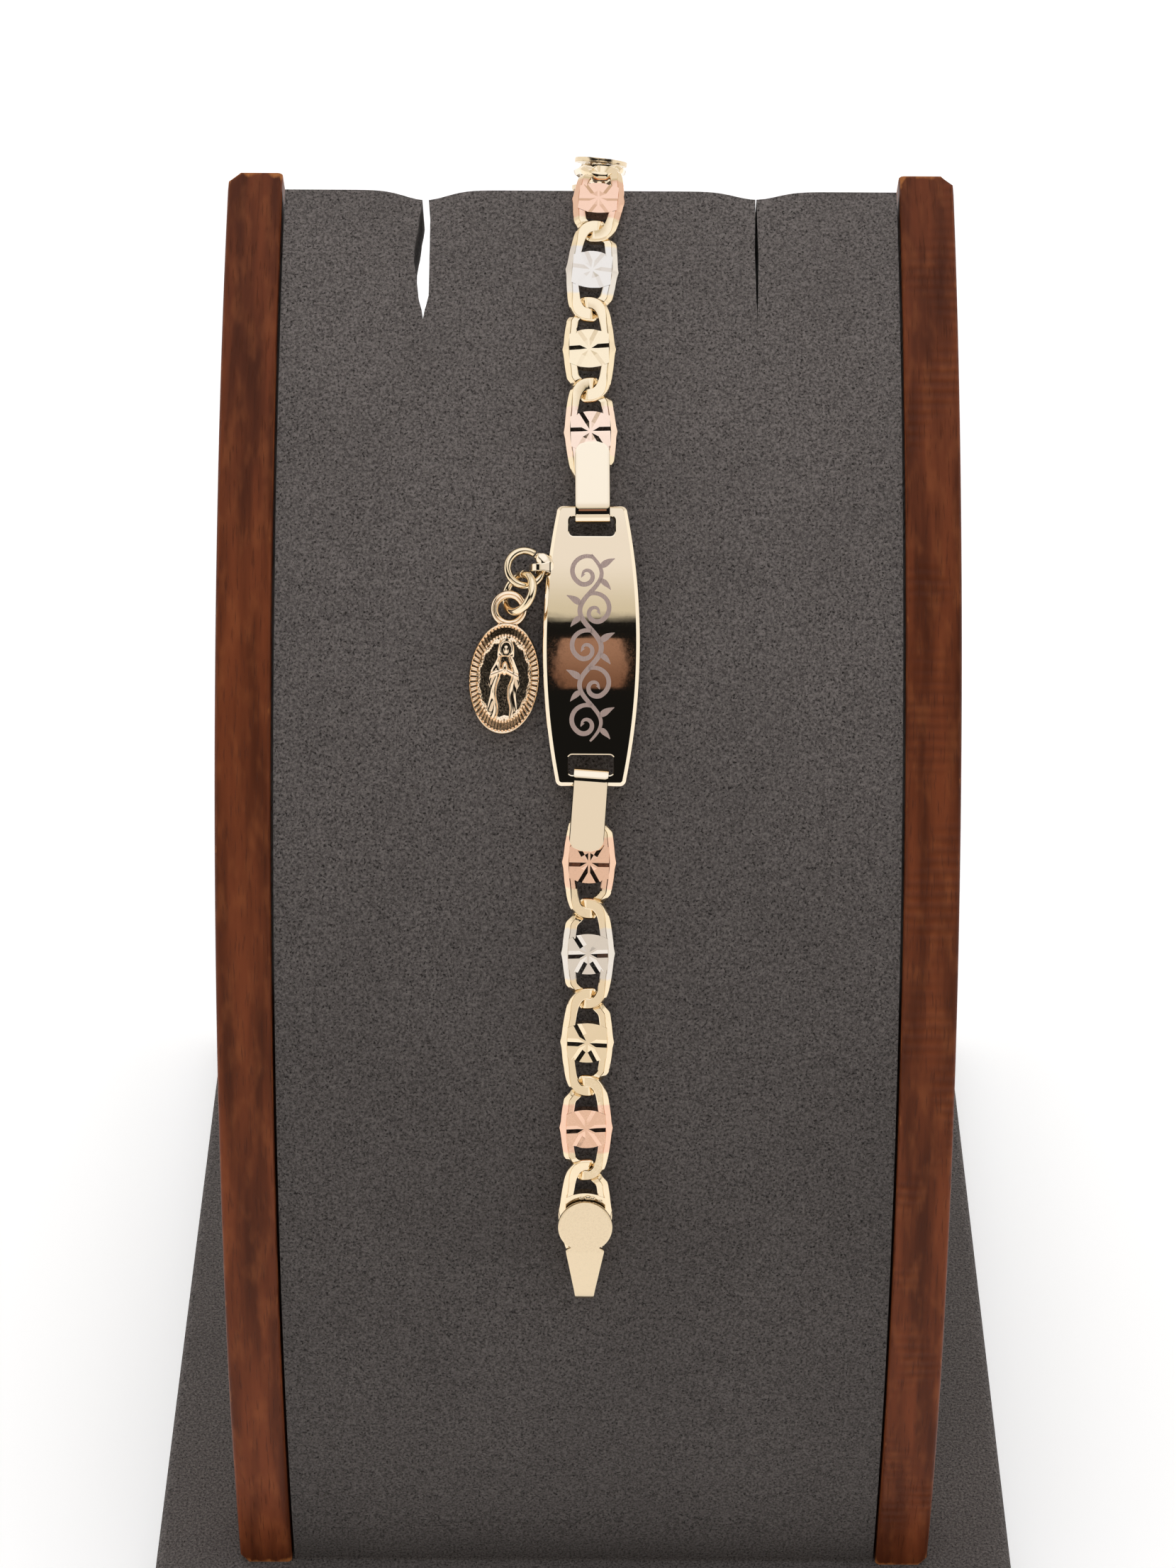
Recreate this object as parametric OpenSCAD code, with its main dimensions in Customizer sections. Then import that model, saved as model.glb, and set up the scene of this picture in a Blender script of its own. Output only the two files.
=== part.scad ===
// A nameplate bracelet laid over a plain curved display stand.
// Millimetres. +Z is up, -Y is the front, +X is the right as seen from the front.
// The origin is the middle of the stand's underside.
// The stand's face is part of a cylinder. A place on it is given by s, the distance
// along the face from its foot, by x, and by h, the height above the face.

/* [Stand] */
// Width of the curved face over both rails
stand_w = 80; // [60:1:110]
// Radius of the curved face
arc_r = 158.5; // [130:0.5:220]
// Length of the soft panel along the face
panel_len = 165; // [160:1:180]
// Thickness of the soft panel
panel_t = 6.5; // [4:0.1:9]
// Radius of the panel's two upper corners
panel_corner_r = 3; // [1:0.1:6]
// Gap between the panel and each rail
panel_gap = 0.3; // [0.1:0.05:1]
// Width of a wooden rail
rail_w = 6; // [4:0.1:9]
// Depth of a wooden rail behind its face
rail_t = 8; // [6:0.1:12]
// How far a rail stands out of the panel's face
rail_proud = 0.4; // [0:0.1:1]
// How far a rail runs on above the panel
rail_over = 1.8; // [0.5:0.1:4]
// Radius of a rail's corners at its upper end
rail_corner_r = 1.3; // [0.5:0.1:2]
// Radius of a rail's long edges
rail_edge_r = 0.4; // [0.2:0.1:1]
// Distance of each slit in the panel from the middle
slit_x = 18.2; // [14:0.1:24]
// Length of a slit
slit_len = 15.5; // [8:0.5:24]
// Widest opening of the left slit
slit_left_w = 2.3; // [0.6:0.1:3]
// Width of the right slit
slit_right_w = 0.4; // [0.2:0.1:1.5]
// Width of the board
board_w = 100; // [90:1:130]
// Depth of the board
board_d = 112; // [105:1:140]
// Thickness of the board
board_t = 10; // [6:0.5:16]
// How far the board runs in front of the curved face
board_front = 10; // [6:1:20]
// Radius of the board's upright corners
board_corner_r = 1.5; // [0.5:0.1:5]

/* [Plate] */
// Distance of the plate's middle up the face
plate_s = 112.9; // [105:0.1:120]
// Length of the plate
plate_len = 29.9; // [26:0.1:34]
// Width of the plate at its middle
plate_w = 10.35; // [9:0.05:12]
// Width of the plate at its ends
plate_end_w = 7.3; // [6.5:0.1:8.5]
// Thickness of the plate
plate_t = 1.1; // [0.9:0.05:1.3]
// Radius of the plate's four corners
plate_corner_r = 0.7; // [0.3:0.1:1.2]
// Length of the slot at each end, across the plate
slot_w = 4.85; // [4.5:0.05:5.2]
// Height of the slot, along the plate
slot_h = 2.1; // [1.8:0.05:2.6]
// Metal left between a slot and the plate's end
slot_edge = 1.2; // [0.9:0.05:1.5]
// Radius of a slot's corners
slot_corner_r = 0.45; // [0.2:0.05:0.8]
// How far the plate's middle lies off the stand's middle
plate_x = 0.3; // [0:0.1:1]
// Distance of the side eye above the plate's middle
eye_up = 8.1; // [6:0.1:9]
// Width of the side eye's strip, along the plate
eye_strip_w = 1; // [0.8:0.1:2]
// Thickness of the side eye's strip
eye_strip_t = 0.4; // [0.3:0.05:0.6]
// Opening in the side eye, each way
eye_hole = 1.2; // [1.1:0.05:1.4]

/* [Links] */
// Length of a link
link_len = 12.2; // [11.8:0.05:12.8]
// Width of a link
link_w = 5.6; // [5.2:0.1:6]
// Width of a link's side strands
strand_w = 1.35; // [1.2:0.05:1.5]
// Width of the wire at a link's ends
tip_w = 1.05; // [0.9:0.05:1.15]
// Thickness of a link's strands
strand_t = 1; // [0.8:0.05:1.2]
// Clearance between the strands of two links where they cross
cross_gap = 0.22; // [0.14:0.02:0.4]
// Height of a link's middle bar
bar_h = 4.4; // [4:0.1:4.8]
// Thickness of a link's middle bar
bar_t = 1.25; // [1:0.05:1.6]
// Width of the bevel along a link's sides
bevel_w = 0.55; // [0.3:0.05:0.7]
// Clearance between the chain and the stand's face
lay_gap = 0.25; // [0.1:0.05:0.5]
// Distance between link middles in the lower, tighter half
pitch_low = 9.65; // [9.2:0.05:9.8]
// Distance between link middles in the upper half
pitch_up = 9.1; // [8.8:0.05:9.8]

/* [Straps and caps] */
// Width of a strap
strap_w = 3.7; // [3.2:0.1:4.2]
// Thickness of a strap's sheet
strap_t = 0.42; // [0.3:0.02:0.5]
// Length of a strap's front, from its bend to its rounded end
strap_len = 8.8; // [8:0.1:9.4]
// Distance from a strap's bend to the middle of its link
strap_reach = 10.05; // [9.6:0.1:11]
// Radius of the corners of a strap's front end
strap_corner_r = 1.3; // [0.5:0.1:1.8]
// Clearance between a strap and the plate
strap_gap = 0.17; // [0.06:0.02:0.3]
// Diameter of an end cap's round part
cap_d = 5.9; // [5.6:0.1:6.4]
// Thickness of an end cap's sheet
cap_t = 0.42; // [0.3:0.02:0.5]
// Distance from the last link's middle to the middle of the cap's round part
cap_off = 1.5; // [1.2:0.1:2.4]
// Distance from the last link's middle to the end of the cap's tail
cap_reach = 10.3; // [9.5:0.1:12]
// Width of the cap where its taper starts
cap_neck_w = 4.5; // [4.2:0.1:5]
// Width of the end of the cap's tail
tail_w = 1.85; // [1.6:0.05:2.4]
// Thickness of the fold at the end of the tail
tail_t = 2.1; // [1.9:0.05:2.4]

/* [Rings and medal] */
// Mean radius of the ring in the plate's eye
ring1_r = 1.88; // [1.8:0.02:2.1]
// Radius of that ring's wire
ring1_wire = 0.42; // [0.36:0.02:0.46]
// Mean radius of the ring in the medal's bail
ring2_r = 2.1; // [2:0.05:2.3]
// Radius of that ring's wire
ring2_wire = 0.45; // [0.36:0.01:0.48]
// Width of the medal
medal_w = 7.6; // [7:0.1:8]
// Height of the medal without its bail
medal_h = 11.9; // [11:0.1:12.5]
// Thickness of the medal's ground
ground_t = 0.65; // [0.5:0.05:0.8]
// Height of the medal's rim
rim_t = 1.15; // [1:0.05:1.4]
// Width of the medal's rim
rim_w = 0.95; // [0.8:0.05:1.2]
// Height of the figure above the ground
figure_t = 0.75; // [0.4:0.05:0.9]
// Outer radius of the bail
bail_r = 2; // [1.8:0.05:2.2]
// Radius of the hole in the bail
bail_hole_r = 1.12; // [1.05:0.02:1.25]
// Thickness of the bail
bail_t = 0.9; // [0.8:0.05:1]
// Mean radius of the clasp's ring
clasp_ring_r = 2.7; // [2.4:0.1:3]
// Radius of the wire of the clasp's ring
clasp_ring_wire = 0.34; // [0.3:0.02:0.4]
// Length of the clasp
clasp_len = 11; // [9:0.5:13]
// Width of the clasp
clasp_w = 5; // [4.5:0.1:6]
// Thickness of the clasp
clasp_t = 2; // [1.6:0.1:2.6]

/* [Hidden] */
$fn = 48;
eps = 0.01;

gold = [0.87, 0.74, 0.48];
rose = [0.86, 0.62, 0.52];
white = [0.80, 0.80, 0.79];
suede = [0.29, 0.28, 0.27];
wood = [0.36, 0.18, 0.11];

// The axis of the curved face
axis_y = arc_r + board_front - board_d / 2;

// Angle up the face for a distance s along it
function up_angle(s) = s / arc_r * 180 / PI;

// Moves its children to a place on the face, their +Y up the face and their +Z out of it
module on_face(s, x = 0, h = 0, lean = 0)
    translate([0, axis_y, board_t])
        rotate([90 - up_angle(s), 0, 0])
            translate([x, 0, arc_r + h])
                rotate([0, 0, lean])
                    children();

// A curved bar of a given section, that follows the face from its foot
module along_face(len)
    translate([0, axis_y, board_t])
        rotate([90, 0, -90])
            rotate_extrude(angle = up_angle(len), $fn = 180)
                children();

module round_rect(w, h, r) {
    translate([r - w / 2, -h / 2]) square([w - 2 * r, h]);
    translate([-w / 2, r - h / 2]) square([w, h - 2 * r]);
    for (sx = [-1, 1], sy = [-1, 1])
        translate([sx * (w / 2 - r), sy * (h / 2 - r)]) circle(r);
}

// What is cut away to round a corner that lies at the origin, its metal towards -X and -Y.
// The arc is a hair too large, so that it crosses both faces and isn't tangent to them
corner_over = 0.02;
module corner_cut(r) {
    difference() {
        translate([-r, -r]) square([r + 1, r + 1]);
        translate([-r, -r]) circle(r + corner_over);
    }
}

module base_board() color(suede)
    linear_extrude(board_t) round_rect(board_w, board_d, board_corner_r);

panel_w = stand_w - 2 * (rail_w + panel_gap);
// The panel's upper edge is a soft roll, a little thicker than the panel
roll_r = panel_t / 2 + 0.15;

module slit(len, w, through) {
    // Half widths of the opening down its length, as shares of both
    shape = [[0, 0.3], [0.2, 0.6], [0.45, 1], [0.75, 0.6], [1, 0.06]];
    side = [for (row = shape) [w / 2 * row[1], -len * row[0]]];
    other = [for (i = [len(shape) - 1:-1:0]) [-side[i][0], side[i][1]]];
    translate([0, 0, -through])
        linear_extrude(2 * through)
            polygon(concat([[w * 0.15, 2 * roll_r], [w * 0.15, 0]], side, other, [[-w * 0.15, 2 * roll_r]]));
}

module back_panel() color(suede)
    difference() {
        union() {
            along_face(panel_len - roll_r)
                translate([arc_r - panel_t, -panel_w / 2]) square([panel_t, panel_w]);
            on_face(panel_len - roll_r, 0, -panel_t / 2)
                rotate([0, 90, 0]) cylinder(r = roll_r, h = panel_w, center = true);
        }
        for (side = [0, 1])
            on_face(panel_len, 0, -2 * panel_t)
                mirror([side, 0, 0])
                    translate([panel_w / 2, 0, 0])
                        linear_extrude(4 * panel_t) corner_cut(panel_corner_r);
        on_face(panel_len, -slit_x) slit(slit_len, slit_left_w, 2 * panel_t);
        on_face(panel_len, slit_x) slit(slit_len, slit_right_w, 2 * panel_t);
    }

// Side is -1 for the left rail and 1 for the right one
module rail(side) color(wood)
    difference() {
        along_face(panel_len + rail_over)
            translate([arc_r + rail_proud - rail_t / 2, -side * (stand_w - rail_w) / 2])
                round_rect(rail_t, rail_w, rail_edge_r);
        on_face(panel_len + rail_over, 0, -2 * rail_t)
            mirror([side < 0 ? 1 : 0, 0, 0])
                translate([stand_w / 2, 0, 0])
                    linear_extrude(4 * rail_t) corner_cut(rail_corner_r);
    }

module rail_left() rail(-1);
module rail_right() rail(1);

// Heights in a link, from the middle of its thickness
cross_z = (strand_t + cross_gap) / 2;
front_z = cross_z + strand_t / 2;
// Height of a link's middle above the face
chain_h = lay_gap + front_z;
// A link's bar stands a hair out of its strands
bar_proud = 0.03;

function smooth(a) = let(t = min(1, max(0, a))) t * t * (3 - 2 * t);
function signed_pow(a, p) = sign(a) * pow(abs(a), p);

// Rounds of stations along the loop of a link, and how full its oval is
link_n = 28;
link_full = 2.25;
// How far a link's ends turn aside, and over what width and height a strand dives
tip_aside = 0.2;
dive_w = 1.2;
dive_h = 1.4;

// How far a link's end is bent down, for a height y along the link and the two ends' own sags
function link_sag(y, sag) = sag[y > 0 ? 1 : 0] * pow(max(0, (2 * abs(y) - bar_h) / (link_len - bar_h)), 2);

// The middle line of a link's loop at angle a, for a link whose strand on side -hand is in front
function loop_mid(a, hand, sag) = let(
        x = (link_w - strand_w) / 2 * signed_pow(cos(a), 2 / link_full),
        y = (link_len - tip_w) / 2 * signed_pow(sin(a), 2 / link_full),
        aside = hand * tip_aside * pow(abs(sin(a)), 6),
        down = smooth((abs(y) - bar_h / 2) / dive_h) * smooth((hand * x + dive_w / 2) / dive_w)
    ) [x + aside, y, cross_z * (1 - 2 * down) - link_sag(y, sag)];

// The outward direction in the link's own plane
function loop_out(a) = let(
        v = [signed_pow(cos(a), 2 - 2 / link_full) / (link_w - strand_w),
             signed_pow(sin(a), 2 - 2 / link_full) / (link_len - tip_w)]
    ) v / norm(v);

function loop_w(a) = strand_w + (tip_w - strand_w) * pow(sin(a), 2);

// The corners of the wire at angle a: out from the middle line, and up
wire_sides = 6;
function wire_corners(w) = let(b = min(bevel_w, 0.45 * w), t = strand_t / 2) [
        [0.08 - w / 2, t], [w / 2 - b, t], [w / 2, t - 0.75 * b],
        [w / 2 - 0.12, -t], [0.12 - w / 2, -t], [-w / 2, 0]];

module link_loop(hand, sag) {
    turns = [for (i = [0:link_n - 1]) (i + 0.5) * 360 / link_n];
    points = [for (a = turns) let(m = loop_mid(a, hand, sag), o = loop_out(a))
        for (c = wire_corners(loop_w(a))) [m[0] + c[0] * o[0], m[1] + c[0] * o[1], m[2] + c[1]]];
    m = wire_sides;
    faces = [for (i = [0:link_n - 1], j = [0:m - 1])
        let(k = (i + 1) % link_n, l = (j + 1) % m, p = m * i + j, q = m * i + l, r = m * k + l, s = m * k + j)
        for (f = [[p, r, q], [p, s, r]]) f];
    polyhedron(points, faces, convexity = 6);
}

module link_bar() {
    half = link_w / 2 - bevel_w - 0.03;
    // How far the bar's edges fall back towards its ends
    drop = 0.55;
    edge = [for (u = [-1:0.25:1]) [u * half, bar_h / 2 - drop * u * u]];
    translate([0, 0, front_z + bar_proud - bar_t])
        linear_extrude(bar_t)
            polygon(concat(edge, [for (i = [len(edge) - 1:-1:0]) [edge[i][0], -edge[i][1]]]));
}

// A link that lies in the XY plane. Its strand on the left is in front where hand is 1
module link(hand, sag = [0, 0]) {
    link_loop(hand, sag);
    link_bar();
}

// Heights in the plate and the straps, from the middle of the chain's thickness.
// A strap's front lies on its link's bar, sunk by a hair of solder
solder = 0.02;
strap_in_front = front_z - solder;
plate_front = strap_in_front - strap_gap;
plate_back = plate_front - plate_t;
strap_in_back = plate_back - strap_gap;
strap_bend_r = 0.16;
// A strap lies a little askew on the bar, so its bend has more room than its layers
bend_gap = 0.3;
// Distance from the middle of the plate's end bar to the outside of a strap's bend
strap_wrap = slot_edge / 2 + bend_gap + strap_t;
// Share of a strap's front that its back layer runs under
strap_back_share = 0.75;

module plate_outline() {
    bulge = (plate_w - plate_end_w) / 2;
    side_r = (pow(plate_len / 2, 2) + pow(bulge, 2)) / (2 * bulge);
    intersection() {
        translate([side_r - plate_w / 2, 0]) circle(side_r, $fn = 360);
        translate([plate_w / 2 - side_r, 0]) circle(side_r, $fn = 360);
        union() {
            square([plate_w, plate_len - 2 * plate_corner_r], center = true);
            round_rect(2 * plate_half(plate_len / 2 - plate_corner_r), plate_len, plate_corner_r);
        }
    }
}

// The plate's half width at a height along it
function plate_half(y) = let(b = (plate_w - plate_end_w) / 2, r = (pow(plate_len / 2, 2) + b * b) / (2 * b))
    sqrt(r * r - y * y) - r + plate_w / 2;

// A strip bent round to an eye, in the XY plane, its legs towards +X and its bend at -X
module eye_strip() {
    outer = eye_hole + 2 * eye_strip_t;
    difference() {
        union() {
            translate([-eye_hole / 2, -outer / 2]) square([eye_hole / 2 + eye_strip_t, outer]);
            translate([-eye_hole / 2, 0]) circle(d = outer);
        }
        translate([-eye_hole / 2, 0]) circle(d = eye_hole);
        translate([-eye_hole / 2, -eye_hole / 2]) square([eye_hole / 2 + eps, eye_hole]);
    }
}

module nameplate() color(gold) {
    eye_x = plate_x - plate_half(eye_up);
    plate_mid = chain_h + (plate_front + plate_back) / 2;
    difference() {
        intersection() {
            along_face(plate_s + plate_len)
                translate([arc_r + chain_h + plate_back, -stand_w / 2]) square([plate_t, stand_w]);
            on_face(plate_s, plate_x) linear_extrude(4 * plate_t) plate_outline();
        }
        for (end = [-1, 1])
            on_face(plate_s + end * bar_off, plate_x)
                translate([0, -end * (slot_edge + slot_h) / 2, 0])
                    linear_extrude(4 * plate_t) round_rect(slot_w, slot_h, slot_corner_r);
    }
    // The eye's legs run a little way into the plate's edge
    on_face(plate_s + eye_up, eye_x, plate_mid)
        rotate([90, 0, 0])
            linear_extrude(eye_strip_w, center = true) eye_strip();
}

// The strap's section, from its bend at -X: front layer above, back layer below
module strap_section() {
    z_mid = (strap_in_front + strap_in_back) / 2;
    room = strap_in_front - strap_in_back;
    difference() {
        translate([strap_len / 2 + strap_len - strap_wrap, z_mid])
            round_rect(3 * strap_len, room + 2 * strap_t, strap_bend_r + strap_t);
        translate([strap_len / 2 + strap_len - strap_wrap + strap_t, z_mid])
            round_rect(3 * strap_len, room, strap_bend_r);
        translate([strap_len - strap_wrap, -strap_len]) square(3 * strap_len);
        translate([strap_len * strap_back_share - strap_wrap, z_mid - strap_len]) square([3 * strap_len, strap_len]);
    }
}

module strap_outline() {
    end = strap_len - strap_wrap;
    translate([-strap_w / 2, -2 * strap_wrap]) square([strap_w, end + 2 * strap_wrap - strap_corner_r]);
    translate([0, end - strap_corner_r]) round_rect(strap_w, 2 * strap_corner_r, strap_corner_r - eps);
}

// A strap and the link that is soldered in it. The origin is the middle of the plate's end bar
module strap_link(hand, lean) {
    rotate([0, 0, lean])
        intersection() {
            rotate([90, 0, 90]) linear_extrude(strap_w, center = true) strap_section();
            translate([0, 0, -2 * strap_len]) linear_extrude(4 * strap_len) strap_outline();
        }
    translate([0, strap_reach - strap_wrap, 0]) link(hand);
}

// An end cap and the last link that is soldered in it. The origin is the last link's middle
cap_front = front_z - solder;
cap_back = -front_z - 0.06;
tail_mid = (cap_front + cap_t + cap_back) / 2;

module cap_section(grow) {
    top = cap_front + cap_t - grow;
    bottom = cap_back + grow;
    fold_r = tail_t / 2 - grow;
    fold_y = cap_reach - tail_t / 2;
    bend_y = cap_off + cap_d / 2;
    start = -cap_d - 2 * grow;
    polygon([[start, top], [bend_y, top], [fold_y, tail_mid + fold_r],
        [fold_y, tail_mid - fold_r], [bend_y, bottom], [start, bottom]]);
    translate([fold_y, tail_mid]) circle(fold_r);
}

module cap_outline() {
    neck_y = cap_off + 0.7 * cap_d / 2;
    translate([0, cap_off]) circle(d = cap_d);
    polygon([[-cap_neck_w / 2, neck_y], [-tail_w / 2, cap_reach + eps], [tail_w / 2, cap_reach + eps],
        [cap_neck_w / 2, neck_y], [0, cap_off]]);
}

module cap_link(hand, sag = [0, 0]) {
    intersection() {
        rotate([90, 0, 90])
            linear_extrude(2 * cap_d, center = true)
                difference() {
                    cap_section(0);
                    cap_section(cap_t);
                }
        translate([0, 0, -cap_d]) linear_extrude(2 * cap_d) cap_outline();
    }
    link(hand, sag);
}

// Points on the chain's middle line
function chain_point(s, x, lift = 0) = let(a = up_angle(s), r = arc_r + chain_h + lift)
    [x, axis_y - r * cos(a), board_t + r * sin(a)];
function ahead(p, angle, d, x) = [x, p[1] + d * cos(angle), p[2] + d * sin(angle)];

// Puts its children at p, their +Y towards q and their +Z out of the face
module aim(p, q) {
    back = q[1] < p[1];
    d = back ? p - q : q - p;
    translate(p)
        rotate([atan2(d[2], d[1]), 0, 0])
            rotate([0, 0, (back ? 180 : 0) - atan2(d[0], norm([d[1], d[2]]))])
                children();
}

// The joints between the links, from the plate's end bars outwards
strap_joint_up = strap_reach - strap_wrap + pitch_up / 2;
strap_joint_low = strap_reach - strap_wrap + pitch_low / 2;
// The plate's outline is flat, so its end bars lie a little closer than along the face
bar_off = arc_r * PI / 180 * asin((plate_len - slot_edge) / 2 / (arc_r + chain_h));
bar_up = plate_s + bar_off;
bar_low = plate_s - bar_off;
// How far each joint lies off the middle, and how steeply the last two pieces lie at the top
joints_up_x = [0.36, -0.05, -0.15, 0.5];
joints_low_x = [0.3, 0.1, 0.12, 0, 0];
crest_x = 1.2;
crest_angle = 18.5;
over_angle = -33;
tail_up_x = 0.6;
tail_low_x = -0.1;
up = [chain_point(bar_up, joints_up_x[0]),
    for (i = [0:2]) chain_point(bar_up + strap_joint_up + i * pitch_up, joints_up_x[i + 1])];
low = [chain_point(bar_low, joints_low_x[0]),
    for (i = [0:3]) chain_point(bar_low - strap_joint_low - i * pitch_low, joints_low_x[i + 1])];
// The two links that meet at the top are bent down at that joint, and spaced on their own
crest_sag = 1.7;
shoulder_sag = 0.15;
crest_pitch = 9.5;
crest = ahead(up[3], crest_angle, (pitch_up + crest_pitch) / 2, crest_x);
over_end = ahead(crest, over_angle, crest_pitch / 2 + cap_reach, tail_up_x);

module link_between(p, q, hand, sag = [0, 0]) aim((p + q) / 2, q) link(hand, sag);

strap_lean_low = -3;
module strap_upper() color(rose) aim(up[0], up[1]) strap_link(1, 0);
module link_upper_1() color(gold) link_between(up[1], up[2], -1);
module link_upper_2() color(white) link_between(up[2], up[3], 1, [0, shoulder_sag]);
module link_upper_3() color(rose)
    aim(up[3], crest) translate([0, pitch_up / 2, 0]) link(-1, [shoulder_sag, crest_sag]);
module cap_upper() color(gold) aim(crest, over_end) translate([0, crest_pitch / 2, 0]) cap_link(1, [crest_sag, 0]);
module strap_lower() color(rose) aim(low[0], low[1]) strap_link(-1, strap_lean_low);
module link_lower_1() color(white) link_between(low[1], low[2], 1);
module link_lower_2() color(gold) link_between(low[2], low[3], -1);
module link_lower_3() color(rose) link_between(low[3], low[4], 1);
// The lower cap is long and straight, so its tail stands a little off the curved face
tail_lift = 0.6;
tail_low = chain_point(bar_low - strap_joint_low - 3.5 * pitch_low - cap_reach, tail_low_x, tail_lift);
module cap_lower() color(gold) aim(low[4], tail_low) translate([0, pitch_low / 2, 0]) cap_link(-1);

module ring(r, wire) rotate_extrude($fn = 96) translate([r, 0]) circle(wire, $fn = 24);

// Where the two jump rings lie beside the plate: s, x and h of the middle, then turns about X, Y and Z
ring1_at = [plate_s + 8.12, plate_x - 7.14, 1.98];
ring1_turn = [0, 8.8, 9.2];
ring2_at = [plate_s + 5.44, plate_x - 7.75, 2.23];
ring2_turn = [0, -48.4, -18.5];
module lay(at, turn) on_face(at[0], at[1], at[2]) rotate(turn) children();
module jump_ring_1() color(gold) lay(ring1_at, ring1_turn) ring(ring1_r, ring1_wire);
module jump_ring_2() color(gold) lay(ring2_at, ring2_turn) ring(ring2_r, ring2_wire);

// The medal's lower end lies on the face beside the plate, and a ring under its bail lifts the upper end
medal_tilt = 4.2;
medal_s = plate_s - 3.45;
medal_x = plate_x - 9.28;
medal_lean = -3.7;
ridge_n = 64;

// How far the ground and the bail lie in from the back of the rim
back_dip = 0.08;

// The medal is drawn round, as wide as it is high, and squeezed to its oval
module rim() {
    r_out = medal_h / 2;
    r_in = r_out - rim_w;
    border = 0.25;
    // Radius and height across the rim, the ridges lying between its two borders
    function section(high) = let(dip = high ? 0 : 0.22)
        [[r_in, 0], [r_in, rim_t - 0.1], [r_in + border, rim_t - dip],
         [r_out - border, rim_t - 0.12 - dip], [r_out, rim_t - 0.3], [r_out, 0]];
    n = 2 * ridge_n;
    m = len(section(true));
    points = [for (i = [0:n - 1]) let(a = i * 360 / n)
        for (c = section(i % 2 == 0)) [c[0] * cos(a), c[0] * sin(a), c[1]]];
    faces = [for (i = [0:n - 1], j = [0:m - 1])
        let(k = (i + 1) % n, l = (j + 1) % m, p = m * i + j, q = m * i + l, r = m * k + l, t = m * k + j)
        for (f = [[p, r, q], [p, t, r]]) f];
    polyhedron(points, faces, convexity = 4);
}

// The outline of the robed figure: share of its height, half width and relief as shares
figure_rows = [[0, 0.60, 0.55], [0.06, 0.66, 0.75], [0.2, 0.62, 0.85], [0.36, 0.58, 0.92], [0.52, 0.55, 1],
    [0.66, 0.50, 1], [0.75, 0.42, 0.95], [0.81, 0.31, 0.9], [0.87, 0.28, 1], [0.94, 0.24, 1], [1, 0.08, 0.7]];
figure_h = 7.6;
figure_w = 5.6;
figure_cols = 12;

module robed_figure() {
    rows = len(figure_rows);
    cols = figure_cols + 1;
    function relief(u, row) = figure_t * row[2] * pow(1 - pow(abs(u), 2.5), 0.5)
        * (1 + (row[0] < 0.7 ? 0.12 * cos(u * 900) : 0));
    top = [for (row = figure_rows, i = [0:figure_cols]) let(u = 2 * i / figure_cols - 1)
        [u * row[1] * figure_w / 2, row[0] * figure_h - figure_h / 2, 0.05 + relief(u, row)]];
    base = [for (p = top) [p[0], p[1], -0.2]];
    n = rows * cols;
    skin = [for (r = [0:rows - 2], c = [0:figure_cols - 1]) let(p = r * cols + c)
        for (f = [[p, p + cols, p + 1], [p + 1, p + cols, p + cols + 1]]) f];
    floor_faces = [for (f = skin) [f[2] + n, f[1] + n, f[0] + n]];
    loop = concat([for (c = [0:figure_cols]) c], [for (r = [1:rows - 1]) r * cols + figure_cols],
        [for (c = [figure_cols - 1:-1:0]) (rows - 1) * cols + c], [for (r = [rows - 2:-1:1]) r * cols]);
    m = len(loop);
    wall = [for (i = [0:m - 1]) let(a = loop[i], b = loop[(i + 1) % m]) for (f = [[a, b, b + n], [a, b + n, a + n]]) f];
    polyhedron(concat(top, base), concat(skin, floor_faces, wall), convexity = 4);
}

// Middle of the bail above the medal's middle
bail_y = 7.41;
module bail()
    rotate_extrude($fn = 40)
        difference() {
            translate([(bail_r + bail_hole_r) / 2, 0]) round_rect(bail_r - bail_hole_r, bail_t, 0.25, $fn = 12);
            translate([(bail_r + bail_hole_r) / 2, bail_t / 2]) circle(0.12, $fn = 8);
        }

// Places up the medal of the head inside the veil, the joined hands and the mound at the foot
head_y = 2.62;
hands_y = 0.95;
foot_y = -4.3;
// Radius of the round forms of the head and the hands
face_r = 0.62;

module medal() color(gold)
    on_face(medal_s, medal_x, lay_gap, medal_lean)
        translate([0, -medal_h / 2, 0]) rotate([medal_tilt, 0, 0]) translate([0, medal_h / 2, 0])
        resize([medal_w, 0, 0]) {
            translate([0, 0, back_dip]) cylinder(r = medal_h / 2 - 0.6 * rim_w, h = ground_t - back_dip, $fn = ridge_n);
            rim();
            translate([0, -0.4, ground_t]) robed_figure();
            translate([0, head_y, ground_t + 0.42]) scale([1.25, 1, 1]) sphere(face_r, $fn = 20);
            translate([0, hands_y, ground_t + 0.72]) rotate([-12, 0, 0]) scale([0.62, 1.3, 0.5]) sphere(face_r, $fn = 16);
            translate([0, foot_y, ground_t]) scale([2.6, 0.75, 0.5]) sphere(1, $fn = 20);
            translate([0, bail_y, bail_t / 2 + back_dip / 2]) scale([medal_h / medal_w, 1, 1]) bail();
        }

// The hidden end: a ring through the upper cap's fold, and a plain closed clasp on it
fold_in = [0.1, 0.12];
module clasp_hang()
    aim(crest, over_end)
        translate([0, crest_pitch / 2 + cap_reach - tail_t / 2 - fold_in[0], tail_mid + fold_in[1]])
            rotate([-over_angle, 0, 0])
                children();
module clasp_ring() color(gold)
    clasp_hang() translate([0, 0, -clasp_ring_r]) rotate([90, 0, 0]) ring(clasp_ring_r, clasp_ring_wire);

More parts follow.
